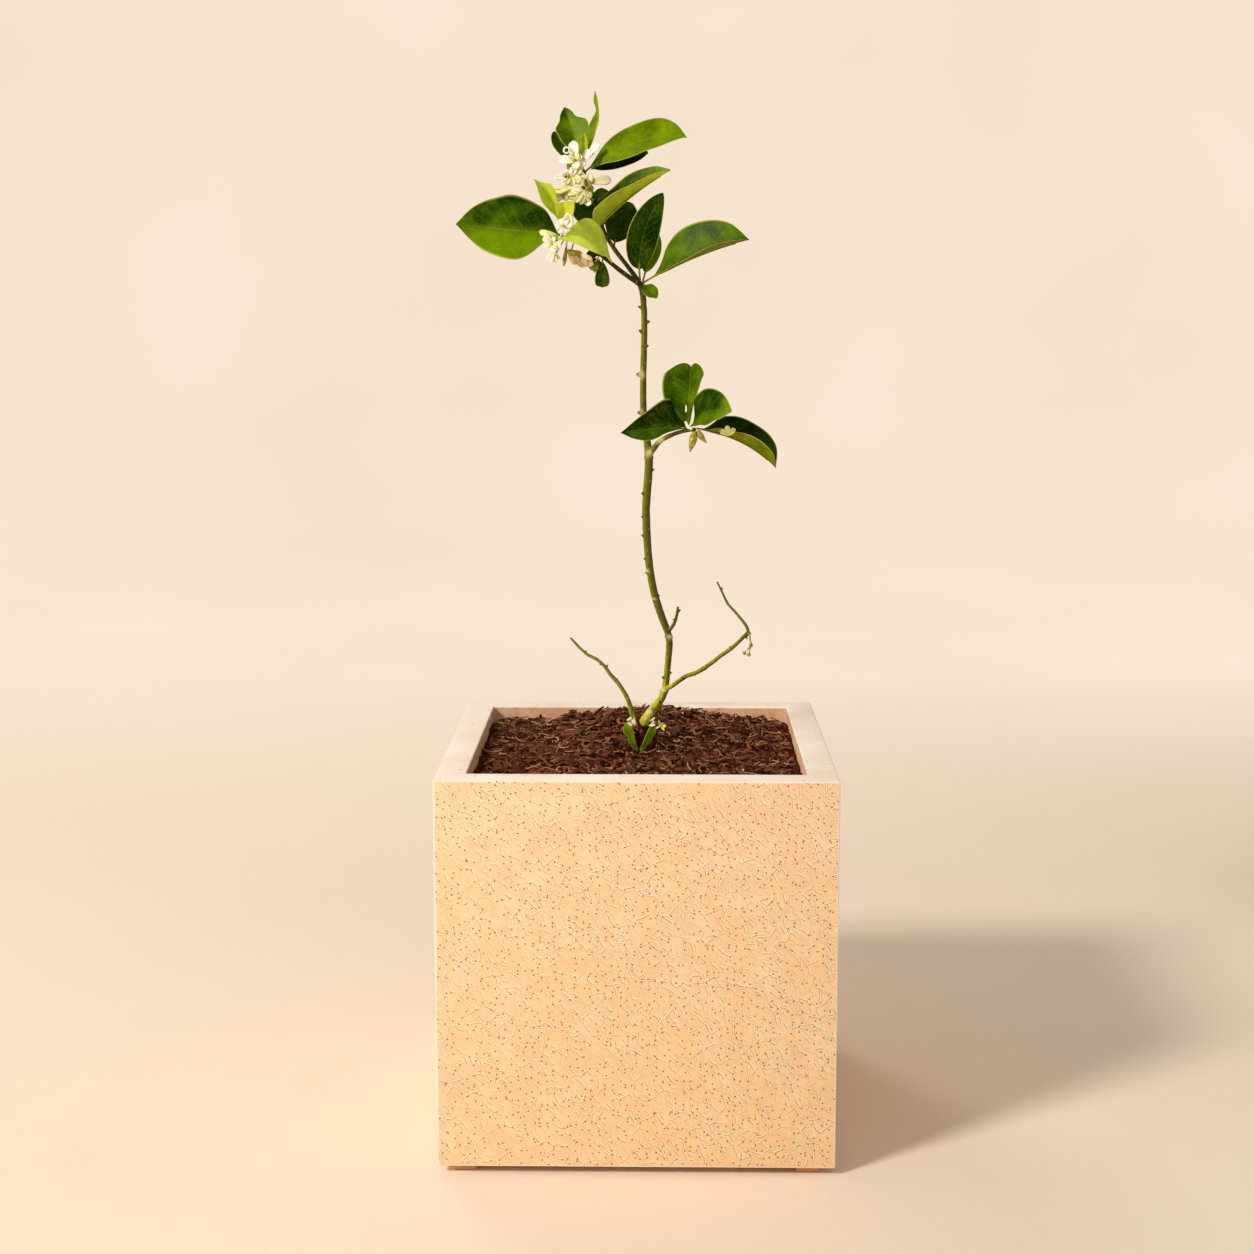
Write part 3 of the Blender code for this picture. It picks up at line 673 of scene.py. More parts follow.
def build_planter():
    """The cast cube with its cavity, softly rounded; its faces are worked, its edges and rim smooth."""
    low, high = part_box("planter")
    inner_low, inner_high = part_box("potting_soil")
    half = (high.x - low.x) / 2
    wall = half - inner_high.x - SOIL_GAP
    floor = inner_low.z - SOIL_GAP
    bm = block("planter")
    top = max(bm.faces, key=lambda face: face.calc_center_median().z)
    bmesh.ops.inset_region(bm, faces=[top], thickness=wall, use_even_offset=True, use_boundary=True)
    sunk = bmesh.ops.extrude_face_region(bm, geom=[top])["geom"]
    bmesh.ops.delete(bm, geom=[top], context="FACES_ONLY")
    moved = [item for item in sunk if isinstance(item, bmesh.types.BMVert)]
    bmesh.ops.translate(bm, vec=(0, 0, floor - high.z), verts=moved)
    bmesh.ops.recalc_face_normals(bm, faces=bm.faces)
    round_edges(bm, [edge for edge in bm.edges if edge.calc_face_angle(0) > 1], PLANTER_ROUNDING, 3)
    face_map = bm.loops.layers.uv.new("UVMap")
    for face in bm.faces:
        middle, normal = face.calc_center_median(), face.normal
        # Each side has its own stretch of the map, so no two bear the same marks.
        beside = 2 if normal.dot(Vector((1, 1, 0))) > 0.5 else 0
        for loop in face.loops:
            place = loop.vert.co
            across = place.y + 1 if abs(normal.x) > 0.7 else place.x
            loop[face_map].uv = (across + beside, place.z)
        reach = max(abs(middle.x), abs(middle.y))
        upright = abs(normal.z) < 0.01 and max(abs(normal.x), abs(normal.y)) > 0.999
        if upright and reach > half - 0.01 * MM:
            face.material_index = 0
        elif reach < half - wall + 0.2 * MM and middle.z < high.z - 2 * PLANTER_ROUNDING:
            face.material_index = 2
        else:
            face.material_index = 1
    piece = new_piece("planter_cast", bm, stone_face_finish(), stone_rim_finish(), stone_inside_finish())
    settled(piece, "cast_stone", "planter")


def build_feet():
    """Each foot: a square pad with rounded edges."""
    material = foot_finish()
    for side in ("front_left", "front_right", "back_left", "back_right"):
        bm = block(f"foot_{side}")
        round_edges(bm, bm.edges[:], FOOT_ROUNDING, 2)
        settled(new_piece(f"planter_foot_{side}", bm, material), "cast_stone", f"foot_{side}")


# ---------------------------------------------------------------- soil

SOIL_EDGE = 0.388
MOUND_HEIGHT = 0.021
MOUND_CENTRE = (0.010, 0.110)
MOUND_SPREAD = 0.075
HEAP_HEIGHT = 0.0265
HEAP_CENTRE = (0.003, -0.001)
HEAP_SPREAD = 0.0125
# The surface's lumps and crumbs: how many to a metre, and their height in mm; and how far the lumps are
# sunk.
BIG_LUMPS = (45, 4.6)
SMALL_LUMPS = (120, 3.2)
FINE_CRUMBS = (420, 1.5)
LUMP_SINK = 1.5
SOIL_CELLS = 150


def soil_height(x, y):
    """The soil's surface: a low mound towards the back and a steep heap round the stem's foot."""
    spread = (x - MOUND_CENTRE[0]) ** 2 + (y - MOUND_CENTRE[1]) ** 2
    heap = math.hypot(x - HEAP_CENTRE[0], y - HEAP_CENTRE[1]) / HEAP_SPREAD
    big = noise.noise(Vector((x, y, 0.0)) * BIG_LUMPS[0]) * BIG_LUMPS[1]
    small = noise.noise(Vector((x, y, 0.3)) * SMALL_LUMPS[0]) * SMALL_LUMPS[1]
    level = SOIL_EDGE + MOUND_HEIGHT * math.exp(-spread / (2 * MOUND_SPREAD**2))
    return level + HEAP_HEIGHT * math.exp(-(heap**4)) + (big + small - LUMP_SINK) * MM


def build_soil():
    """The soil as one block, with its uneven surface on top."""
    low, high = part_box("potting_soil")
    bm = bmesh.new()
    bmesh.ops.create_grid(bm, x_segments=SOIL_CELLS, y_segments=SOIL_CELLS, size=high.x)
    for vert in bm.verts:
        crumb = noise.noise(vert.co * FINE_CRUMBS[0]) * FINE_CRUMBS[1] * MM
        vert.co.z = soil_height(vert.co.x, vert.co.y) + crumb
    walls = bmesh.ops.extrude_edge_only(bm, edges=[edge for edge in bm.edges if edge.is_boundary])["geom"]
    for vert in (item for item in walls if isinstance(item, bmesh.types.BMVert)):
        vert.co.z = low.z
    bottom = [item for item in walls if isinstance(item, bmesh.types.BMEdge) and item.is_boundary]
    bmesh.ops.contextual_create(bm, geom=bottom)
    bmesh.ops.recalc_face_normals(bm, faces=bm.faces)
    settled(new_piece("soil_ground", bm, soil_finish()), "soil", "potting_soil")


# The fibres, in the order they are made: how many shapes, their length and width in mm, how far they
# curl either way in radians, and how thick they are.
FIBRES = {
    "shreds": (20, (12, 26), (2.4, 4.0), 2.0, 1.4),
    "curls": (24, (10, 28), (1.0, 1.7), 2.4, 0.9),
    "flakes": (10, (14, 26), (6, 11), 0.6, 1.6),
}
CRUMB_SHAPES = 8
# Tints: the darkest, the lightest, and how rare the light ones are. Litter without one is white.
SHRED_TINT = (colour(46, 10, 0), colour(170, 98, 54), 1.3)
CURL_TINT = (colour(120, 62, 32), colour(236, 176, 124), 1.8)
CRUMB_TINT = (colour(44, 14, 4), colour(128, 68, 40), 1.5)
FLAKE_TINT = (colour(64, 26, 10), colour(124, 70, 42), 1.0)
# What is strewn on the soil, in this order: its shapes, how many, how high over the surface in mm, how
# far it tips, how large it is, its tint, and how far from the stem in metres where it lies on the heap
# only.
Litter = namedtuple("Litter", "shapes count rise tilt size tint heap", defaults=(None, 0.0))
LITTER = {
    "soil_shreds": Litter("shreds", 1500, (0.2, 3.0), 0.35, (0.6, 1.05), SHRED_TINT),
    "soil_curls": Litter("curls", 950, (2.0, 4.6), 0.22, (0.6, 1.05), CURL_TINT),
    "soil_crumbs": Litter("crumbs", 2600, (-1.0, 1.6), 0.6, (0.9, 4.6), CRUMB_TINT),
    "soil_flakes": Litter("flakes", 260, (0.5, 3.4), 0.3, (0.7, 1.3), FLAKE_TINT),
    "soil_clods": Litter("crumbs", 150, (-2.0, 1.5), 0.6, (3, 7), CRUMB_TINT),
    "soil_heap_crumbs": Litter("crumbs", 260, (-0.8, 0.6), 0.6, (0.9, 2.2), CRUMB_TINT, 0.015),
    "soil_perlite": Litter("crumbs", 46, (1.2, 3.0), 0.5, (0.7, 1.6)),
}
LITTER_SEED = 41
# How far the litter's middles stay from the wall, and how wide a step its tilt is measured over, in metres.
LITTER_MARGIN = 0.008
SLOPE_STEP = 0.003


def shred_shape(length, width, curl, thickness):
    """A curled shred of bark fibre lying flat, its middle at the origin, in mm."""
    bm = bmesh.new()
    bmesh.ops.create_cube(bm, size=1.0)
    along = [edge for edge in bm.edges if abs((edge.verts[0].co - edge.verts[1].co).x) > 0.5]
    bmesh.ops.subdivide_edges(bm, edges=along, cuts=6)
    for vert in bm.verts:
        share = vert.co.x * 2
        taper = 1 - 0.45 * share * share
        x, y = share * length / 2, vert.co.y * width * taper
        angle = curl * share
        if abs(curl) > 0.05:
            radius = length / 2 / curl
            x, y = math.sin(angle) * (radius - y), radius - math.cos(angle) * (radius - y)
        lift = (1 - math.cos(angle)) * 0.6
        vert.co = Vector((x, y, vert.co.z * thickness + lift)) * MM
    mesh = bpy.data.meshes.new("shred")
    bm.to_mesh(mesh)
    bm.free()
    return mesh


def crumb_shape(seed):
    """A rough round crumb of about 1 mm radius."""
    bm = bmesh.new()
    bmesh.ops.create_icosphere(bm, subdivisions=1, radius=MM)
    for vert in bm.verts:
        vert.co *= 0.75 + 0.5 * noise.noise(vert.co * 900 + Vector((seed, 0, 0)))
    mesh = bpy.data.meshes.new("crumb")
    bm.to_mesh(mesh)
    bm.free()
    return mesh


def blend_shades(first, second, share):
    return tuple(a + (b - a) * share for a, b in zip(first, second))


def soil_spot(chance, heap):
    """A random spot on the soil, or within the heap's reach, and which way the surface faces there."""
    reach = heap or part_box("potting_soil")[1].x - LITTER_MARGIN
    x, y = chance.uniform(-reach, reach), chance.uniform(-reach, reach)
    if heap:
        x, y = x + HEAP_CENTRE[0], y + HEAP_CENTRE[1]
    step = SLOPE_STEP
    slope_x = (soil_height(x + step, y) - soil_height(x - step, y)) / (2 * step)
    slope_y = (soil_height(x, y + step) - soil_height(x, y - step)) / (2 * step)
    return Vector((x, y, soil_height(x, y))), Vector((-slope_x, -slope_y, 1)).normalized()


def lying(litter, chance):
    """A random place for one shape of this litter, with its turn, tilt and size."""
    spot, normal = soil_spot(chance, litter.heap)
    tip = Vector((chance.uniform(-litter.tilt, litter.tilt), chance.uniform(-litter.tilt, litter.tilt), 0))
    normal = (normal + tip).normalized()
    turn = normal.to_track_quat("Z", "Y").to_matrix().to_4x4()
    spin = Matrix.Rotation(chance.uniform(0, math.tau), 4, "Z")
    scale = Matrix.Scale(chance.uniform(*litter.size), 4)
    return Matrix.Translation(spot + normal * chance.uniform(*litter.rise) * MM) @ turn @ spin @ scale


def scatter(name, litter, count, shapes, material, chance):
    """Copies of the shapes, each with its own place and tint, joined as one piece."""
    bm = bmesh.new()
    layer = bm.verts.layers.float_color.new("tint")
    for _ in range(count):
        shape = chance.choice(shapes).copy()
        shape.transform(lying(litter, chance))
        done = len(bm.verts)
        bm.from_mesh(shape)
        bpy.data.meshes.remove(shape)
        shade = WHITE
        if litter.tint:
            dark, light, rarity = litter.tint
            shade = blend_shades(dark, light, chance.random() ** rarity)
        bm.verts.ensure_lookup_table()
        for i in range(done, len(bm.verts)):
            bm.verts[i][layer] = shade
    settled(new_piece(name, bm, material), "soil")


def build_soil_litter():
    """Shreds, curls, flakes, crumbs and clods of fibre on the soil, and a few pale grains."""
    chance = random.Random(LITTER_SEED)
    shapes = {}
    for kind, (count, lengths, widths, curl, thickness) in FIBRES.items():
        shapes[kind] = [
            shred_shape(
                chance.uniform(*lengths), chance.uniform(*widths), chance.uniform(-curl, curl), thickness
            )
            for _ in range(count)
        ]
    shapes["crumbs"] = [crumb_shape(seed) for seed in range(CRUMB_SHAPES)]
    fibre, grains = fibre_finish(), perlite_finish()
    for name, litter in LITTER.items():
        count = int(litter.count * 0.2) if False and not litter.heap else litter.count
        scatter(name, litter, count, shapes[litter.shapes], fibre if litter.tint else grains, chance)
    for kind in shapes.values():
        for shape in kind:
            bpy.data.meshes.remove(shape)


# ---------------------------------------------------------------- stem

# A spot on the stem is its height in mm, its limb counted from the left, and its turn in degrees, with
# 0 at the right, 90 in front and 180 at the left. lift is how steeply an eye rises; width and length
# are in mm.
Eye = namedtuple("Eye", "height limb turn width length lift", defaults=(0.3,))
EYES = [
    Eye(865, 0, 180, 1.6, 3, 0.5), Eye(850, 0, 10, 1.9, 3), Eye(840, 0, 165, 1.9, 3, 0.6),
    Eye(825, 0, 15, 1.5, 2), Eye(795, 0, 170, 3.0, 3.6, 0.1), Eye(755, 0, 160, 2.8, 3, 0.1),
    Eye(695, 0, 10, 1.3, 2, 0.2), Eye(670, 0, 155, 1.8, 2), Eye(645, 0, 155, 1.5, 1.6),
    Eye(625, 0, 160, 1.8, 2), Eye(600, 0, 160, 1.6, 1.6), Eye(585, 0, 160, 1.8, 2),
    Eye(560, 0, 20, 1.3, 1.5), Eye(555, 0, 120, 1.5, 1.6), Eye(475, 1, 20, 1.4, 2.4, 0.5),
    Eye(470, 1, 150, 1.6, 2.4), Eye(445, 1, 90, 1.3, 1.5, 0.2), Eye(545, 1, 0, 1.0, 3, 0.9),
    Eye(535, 1, 170, 1.0, 1.6), Eye(485, 2, 0, 1.0, 3, 0.6), Eye(478, 2, 20, 1.1, 3, 0.9),
    Eye(472, 2, 90, 1.0, 2.6, 1), Eye(512, 1, 180, 0.9, 1.8, 0.8), Eye(465, 0, 30, 1.0, 2, 0.8),
    Eye(478, 0, 10, 1.1, 2.4, 0.9), Eye(492, 0, 0, 0.9, 2, 0.9), Eye(480, 0, 180, 0.9, 1.6, -0.9),
    Eye(526, -1, 0, 1.1, 4, 0.8), Eye(524, -1, 20, 1.0, 2.4, -0.8), Eye(572, -1, 0, 1.0, 1.8),
]
# Marks in the bark: height, limb, turn and how far they reach in mm. The pale mark at 434 mm is a
# painted highlight on the stem's foot.
PALE_MARKS = [
    (713, 0, 90, 4), (726, 1, 90, 4), (515, 0, 60, 3), (457, 1, 120, 3), (434, 1, 140, 4), (795, 0, 150, 4),
    (755, 0, 150, 3), (556, 0, 120, 2), (587, 0, 140, 2),
]
DARK_MARKS = [
    (436, 1, 60, 2), (437, 1, 110, 2), (433, 1, 0, 2), (716, 0, 40, 2), (466, 1, 180, 2), (465, 1, 20, 2),
    (520, 0, 45, 2), (750, 0, 90, 2), (453, 1, 0, 2),
]
# Rings where a year's growth starts: height, limb and how far the ring stands out in mm; and how tall
# and how wide a ring is.
RINGS = [(515, 0, 0.8), (456, 1, 0.9), (434, 1, 0.5), (708, 0, 0.7), (886, 0, 0.6)]
RING_HEIGHT = 2.2
RING_REACH = 9

# The skin's grain in mm, what smoothing takes off it, given back, and how far it is uneven over which
# distance.
SKIN_CELL = 0.65
SKIN_LOSS = 0.35
SKIN_LUMPS = (0.2, 9)

# The bark's age: the foot's height and how far up it is corky, the trunk's age, the height where the
# crown starts to be young and over what height, and the age of the low shoots, which stand out at the
# sides below a height. Painted shade darkens the bark's right side and painted light lightens its
# left, given as added age.
FOOT_HEIGHT = 418
FOOT_REACH = 90
TRUNK_AGE = 0.55
CROWN_HEIGHT = 870
CROWN_REACH = 40
SHOOT_AGE = 0.42
SHOOT_HEIGHT = 520
SHOOT_SIDES = (-6, 37)
SUNNY_SIDE = 0.3


def grow_eye(bm, eye):
    """A bud eye standing out of the bark; gives back where it ends."""
    angle = math.radians(eye.turn)
    out = Vector((math.cos(angle), -math.sin(angle), eye.lift)).normalized()
    foot = on_bark(eye.height, eye.limb, eye.turn)
    steps = ((-eye.width, 1.0), (0, 1.0), (eye.length * 0.6, 0.7), (eye.length, 0.35))
    limb(bm, [Vector((*(foot + out * reach), eye.width * share)) for reach, share in steps], sides=10)
    return foot + out * eye.length


def bark_strength(place, marks):
    """How strongly the marks show here, from 0 to 1."""
    return min(sum(math.exp(-(((place - spot).length / reach) ** 2)) for spot, reach in marks), 1.0)


def bark_age(place):
    """From 0, corky at the foot, to 1, young and green in the crown; the low shoots lie between."""
    left, right = SHOOT_SIDES
    if place.z < SHOOT_HEIGHT and (place.x < left or place.x > right):
        return SHOOT_AGE
    if place.z > CROWN_HEIGHT:
        return min(TRUNK_AGE + (place.z - CROWN_HEIGHT) / CROWN_REACH, 1.0)
    return min(max((place.z - FOOT_HEIGHT) / FOOT_REACH, 0.0), 1.0) * TRUNK_AGE


def bark_swell(place, rings):
    """How far the rings stand out of the bark here in mm."""
    swell = 0
    for middle, rise in rings:
        height, reach = (place.z - middle.z) / RING_HEIGHT, (place - middle).length / RING_REACH
        swell += rise * math.exp(-(height**2 + reach**4))
    return swell


def build_stem():
    """The part's own stem under one smooth skin, with its eyes grown in and its rings raised."""
    bm = part_shape("woody_stem")
    scars = [(grow_eye(bm, eye), 0.9 * eye.width) for eye in EYES]
    scars += [(on_bark(*mark[:3]), mark[3]) for mark in DARK_MARKS]
    cork_and_highlight_marks = [(on_bark(*mark[:3]), mark[3]) for mark in PALE_MARKS]
    rings = [(limbs_at(height)[number][0], rise) for height, number, rise in RINGS]
    stem = new_piece("stem_and_branches", bm)
    skin = stem.modifiers.new("grown_together", "REMESH")
    skin.mode = "VOXEL"
    skin.voxel_size = SKIN_CELL * MM
    soften = stem.modifiers.new("soften", "SMOOTH")
    soften.factor = 0.5
    soften.iterations = 4
    apply_modifiers(stem)
    stem.data.materials.clear()
    stem.data.materials.append(bark_finish())
    stem.data.shade_smooth()
    normals = [vert.normal.copy() for vert in stem.data.vertices]
    layers = {name: stem.data.attributes.new(name, "FLOAT", "POINT") for name in ("age_and_painted_shading", "cork_and_painted_highlight", "scar")}
    depth, width = SKIN_LUMPS
    for vert, normal in zip(stem.data.vertices, normals):
        place = vert.co / MM
        rise = SKIN_LOSS + bark_swell(place, rings) + depth * noise.noise(place / width)
        vert.co += normal * rise * MM
        # The age, with painted shade on the right side and painted light on the left.
        layers["age_and_painted_shading"].data[vert.index].value = bark_age(place) + SUNNY_SIDE * normal.x
        layers["cork_and_painted_highlight"].data[vert.index].value = bark_strength(place, cork_and_highlight_marks)
        layers["scar"].data[vert.index].value = bark_strength(place, scars)
    settled(stem, "green_bark", "woody_stem")


# ---------------------------------------------------------------- leaves

# A leaf runs from root to tip, which the part gives; its upper side looks towards face. petiole is the
# length of its stalk, bow arches the midrib towards face and sweep swings it to the right, in mm. folds
# lift the left and right halves and curl lifts them more towards the tip, in degrees, seen from the
# root with face up. left and right are the halves' outlines from the foot of the blade to the tip, as
# shares of half the width; without them swell and taper shape the foot and the tip. notch is how far
# the two lobes stand past the tip and ripple how far the margin waves, in mm. levels are how light the
# left half, the right half and the tip are, painted light and painted shade for how light falls on
# each, and tone and under name the tones of the two sides. root_shift and tip_shift are how far this
# leaf's ends stand from the part's, in mm.
Leaf = namedtuple(
    "Leaf",
    "width face petiole bow sweep folds curl swell taper left right notch ripple levels tone under"
    " root_shift tip_shift root tip",
    defaults=(
        8, 0, 0, (15, 15), (0, 0), 0.7, 0.7, None, None, 0, 0.5, (0.5, 0.5, 0.5), "mid", "under",
        (0, 0, 0), (0, 0, 0), None, None,
    ),
)
# The darkest and the lightest shade of each tone. deep is painted shade for leaves in shadow, and
# bright and sunlit are painted light on leaves lit from the front and from behind.
TONES = {
    "deep": (colour(8, 32, 0), colour(50, 84, 0)),
    "mid": (colour(20, 52, 0), colour(112, 144, 2)),
    "olive": (colour(58, 84, 0), colour(140, 164, 4)),
    "bright": (colour(92, 124, 0), colour(210, 220, 56)),
    "young": (colour(140, 160, 0), colour(240, 240, 70)),
    "sunlit": (colour(118, 160, 0), colour(240, 255, 84)),
    "under": (colour(88, 104, 0), colour(156, 160, 12)),
}
LEAVES = {
    "crown_leaf_tip": Leaf(
        13, (-0.6, -1, 0), petiole=1, sweep=8.5, folds=(10, 10),
        left=(0.5, 1.1, 1.3, 1.25, 0.8, 0.25, 0.5, 0), right=(0.2, 0.2, 0.25, 0.35, 0.4, 0.35, 0.3, 0),
        levels=(0.4, 0.8, 0.8), tone="olive", under="olive",
    ),
    "crown_leaf_bract": Leaf(
        9, (0, -1, 0.2), petiole=2, folds=(30, 30), tone="young", under="young",
    ),
    "crown_leaf_back": Leaf(
        37, (0, -1, 0.4), petiole=2, folds=(5, 20),
        left=(0.05, 0.38, 0.65, 0.8, 0.87, 0.9, 0.56, 0.38, 0),
        right=(0.05, 0.3, 0.53, 0.8, 1.0, 0.95, 0.47, 0.32, 0), levels=(0.25, 0.95, 0.0),
    ),
    "crown_leaf_back_low": Leaf(20, (0.3, -1, 0.3), sweep=-3, tone="deep"),
    "crown_leaf_right_high": Leaf(
        44, (-0.2, -0.72, 0.66), bow=7, sweep=-10, folds=(8, 8),
        left=(0.1, 0.5, 0.8, 1, 1.1, 1.15, 1.1, 0.75, 0),
        right=(0.1, 0.5, 0.85, 1, 1.05, 0.9, 0.7, 0.35, 0), levels=(0.35, 0.6, 0.5), tone="olive",
    ),
    "crown_leaf_right_mid": Leaf(
        44, (-0.6, -0.25, 0.8), petiole=2, bow=4, folds=(50, 50),
        left=(0.5, 0.95, 1, 1.0, 1.0, 0.95, 0.82, 0.55, 0),
        right=(0.6, 1.0, 1.05, 0.97, 0.85, 0.68, 0.5, 0.3, 0),
        levels=(0.2, 0.8, 1.2), under="bright", root_shift=(-6, -1, -4),
    ),
    "crown_leaf_shaded_high": Leaf(30, (0.3, -1, 0.3), petiole=5, tone="deep"),
    "crown_leaf_shaded_low": Leaf(
        36, (0.2, -1, 0.3), petiole=5, sweep=-3, tone="deep",
    ),
    "crown_leaf_shaded_left": Leaf(
        26, (0, -1, 0.3), petiole=4, levels=(0.9, 0.3, 0.5), tone="deep",
    ),
    "crown_leaf_inner": Leaf(
        34, (0, -1, 0), petiole=12, sweep=-9, swell=0.5,
        levels=(0.3, 0.15, 0.6), tone="deep",
    ),
    "crown_leaf_inner_small": Leaf(
        22, (0, -1, 0.3), petiole=10, levels=(0.2, 0.9, 0.6),
    ),
    "crown_leaf_right_low": Leaf(
        66, (-0.2, -0.7, 0.7), petiole=14, bow=6, folds=(30, 38),
        curl=(0, 24), left=(0.02, 0.4, 0.78, 0.98, 1.05, 1.02, 0.88, 0.6, 0),
        right=(0.02, 0.06, 0.3, 0.65, 0.8, 0.8, 0.65, 0.4, 0), levels=(0.35, 0.4, 0.4),
    ),
    "crown_leaf_fork": Leaf(16, (0, -1, 0.4), petiole=3),
    "crown_leaf_left": Leaf(
        78, (0, -0.9, 0.45), petiole=2, folds=(8, 5),
        left=(0.03, 0.27, 0.66, 0.9, 0.93, 0.84, 0.66, 0.37, 0),
        right=(0.03, 0.63, 0.84, 0.95, 1.0, 0.89, 0.72, 0.45, 0), levels=(1.1, 0.1, 0.5),
        ripple=0.8,
    ),
    "crown_leaf_left_narrow": Leaf(
        22, (0, -1, 0.2), petiole=3, sweep=8, folds=(5, 30),
        left=(0.05, 0.1, 0.4, 0.75, 0.95, 1.0, 0.8, 0.45, 0),
        right=(0.05, 0.1, 0.2, 0.3, 0.4, 0.6, 0.75, 0.25, 0), levels=(0.3, 0.9, 0.4), tone="bright",
    ),
    "crown_leaf_young": Leaf(
        23, (0, -1, 0.2), petiole=1,
        left=(0.1, 0.3, 0.5, 0.6, 0.7, 0.75, 0.8, 0.8, 0.8),
        right=(0.1, 0.15, 0.3, 0.5, 0.7, 0.85, 0.95, 1, 1),
        levels=(0.4, 0.8, 0.6), tone="young", under="young", root_shift=(5, -1, 5), tip_shift=(-3, 0, -1),
    ),
    "crown_leaf_front": Leaf(
        50, (0.1, -0.75, 0.65), petiole=1, bow=8, sweep=11,
        left=(0.05, 0.5, 0.85, 1.1, 1.15, 1.05, 0.85, 0.45, 0),
        right=(0.05, 0.5, 0.85, 1.05, 0.95, 0.65, 0.3, 0.05, 0), levels=(1.2, 0.8, 0.7), tone="sunlit",
        under="bright", root_shift=(5, 4, -4),
    ),
    "crown_leaf_hanging": Leaf(
        16, (0, -1, 0), petiole=2, swell=0.8, taper=0.28, tone="deep",
    ),
    "crown_leaf_hanging_small": Leaf(10, (0, -1, 0.3), petiole=2, tone="deep"),
    "middle_leaf_left": Leaf(
        62, (0, -0.7, 0.7), petiole=1, bow=2, folds=(-5, 25),
        left=(0.06, 0.08, 0.15, 0.26, 0.4, 0.46, 0.44, 0.31, 0),
        right=(0.5, 0.98, 1.02, 0.9, 0.72, 0.53, 0.36, 0.18, 0), levels=(1.6, 0.1, 0.1), tone="deep",
    ),
    "middle_leaf_upright": Leaf(
        60, (0, -1, 0.2), petiole=3, folds=(5, 45), notch=3.5,
        left=(0.1, 0.4, 0.64, 0.82, 0.93, 0.97, 0.97, 0.88, 0.55),
        right=(0.06, 0.14, 0.2, 0.27, 0.36, 0.45, 0.54, 0.64, 0.45), levels=(0.15, 0.45, 0.3),
    ),
    "middle_leaf_right": Leaf(
        58, (0, -0.6, 0.8), petiole=1, bow=9, folds=(40, -35),
        left=(0.45, 0.82, 0.92, 0.94, 0.9, 0.82, 0.68, 0.42, 0.05),
        right=(0.04, 0.21, 0.34, 0.45, 0.52, 0.49, 0.41, 0.3, 0), levels=(-0.2, 0.45, 1.1),
    ),
    "middle_leaf_drooping": Leaf(
        50, (0.4, -0.25, 0.8), petiole=5, bow=9, folds=(50, 50),
        left=(0.05, 0.62, 0.85, 0.97, 1.0, 0.97, 0.85, 0.6, 0),
        right=(0.05, 0.2, 0.35, 0.5, 0.65, 0.75, 0.8, 0.65, 0), levels=(0.2, 0.5, 0.3), tone="deep",
    ),
    "base_leaf_right": Leaf(
        12, (0.2, -1, 0.1), petiole=1, bow=3, folds=(25, 20),
        left=(0.4, 0.5, 0.6, 0.7, 0.8, 0.85, 0.9, 0.8, 0.1),
        right=(0.4, 0.45, 0.5, 0.6, 0.65, 0.7, 0.75, 0.6, 0.1),
        levels=(0.7, -0.1, 0.2), tone="olive", under="olive",
    ),
    "base_leaf_left": Leaf(
        13, (-0.2, -1, 0.1), petiole=1, bow=3, folds=(20, 20),
        left=(0.3, 0.4, 0.5, 0.7, 0.5, 0.7, 0.8, 0.5, 0.1),
        right=(0.3, 0.4, 0.5, 0.6, 0.75, 0.85, 0.85, 0.6, 0.1),
        levels=(0.2, 0.3, 0.9), tone="olive", under="olive",
    ),
}
# Leaves with no solid of their own in the part: their neighbour there, and how root and tip differ, in mm.
SPARE_LEAVES = {
    "crown_leaf_below": (
        "crown_leaf_hanging", (-3, 2, 0), (-12, 4, 18),
        Leaf(16, (0, -1, 0.2), petiole=1, swell=0.4, taper=0.5, levels=(0.3, 0.1, 0.2), tone="deep"),
    ),
    "crown_leaf_behind": (
        "crown_leaf_right_high", (6, 4, 3), (-40, 27, -14),
        Leaf(
            17, (0, -1, 0.3), petiole=2, bow=2, levels=(0.3, 0, 0.2), tone="deep",
            left=(0.1, 0.3, 0.5, 0.7, 0.9, 1, 1, 0.8, 0.2), right=(0.1, 0.6, 0.9, 1.1, 1.1, 1, 0.9, 0.6, 0),
        ),
    ),
}
# The visual leaf ends just inside the part's own tip.
LEAF_REACH = 0.995
LEAF_CELLS = (18, 40)
LEAF_THICKNESS = 0.55
STALK_RADIUS = 0.9
NARROWEST = 0.15
GROOVE_DEPTH = 0.35
GROOVE_REACH = 1.3
RIPPLES = 15
NOTCH_START = 0.8
# Where along the leaf the tip's own level starts to show.
TIP_START = 0.7
# The midrib below the blade: its rings, where it ends, and its radius at the stalk and how much it loses.
RIB_RINGS = 15
RIB_END = 0.88
RIB_RADIUS = 1.05
RIB_TAPER = 0.75
THINNEST_RIB = 0.3


def leaf_axes(leaf):
    """The leaf's own frame and length: x to its right, y from root to tip, z out of its upper side."""
    chord = Vector(leaf.tip) - Vector(leaf.root)
    along = chord.normalized()
    up = Vector(leaf.face)
    up = (up - along * up.dot(along)).normalized()
    return along.cross(up), along, up, chord.length


def along_outline(outline, share):
    """A smooth value through the outline's evenly spaced stations."""
    place = min(max(share, 0.0), 1.0) * (len(outline) - 1)
    i = min(int(place), len(outline) - 2)
    start, end = outline[i], outline[i + 1]
    before = outline[i - 1] if i else 2 * start - end
    after = outline[i + 2] if i + 2 < len(outline) else 2 * end - start
    return between(before, start, end, after, place - i)


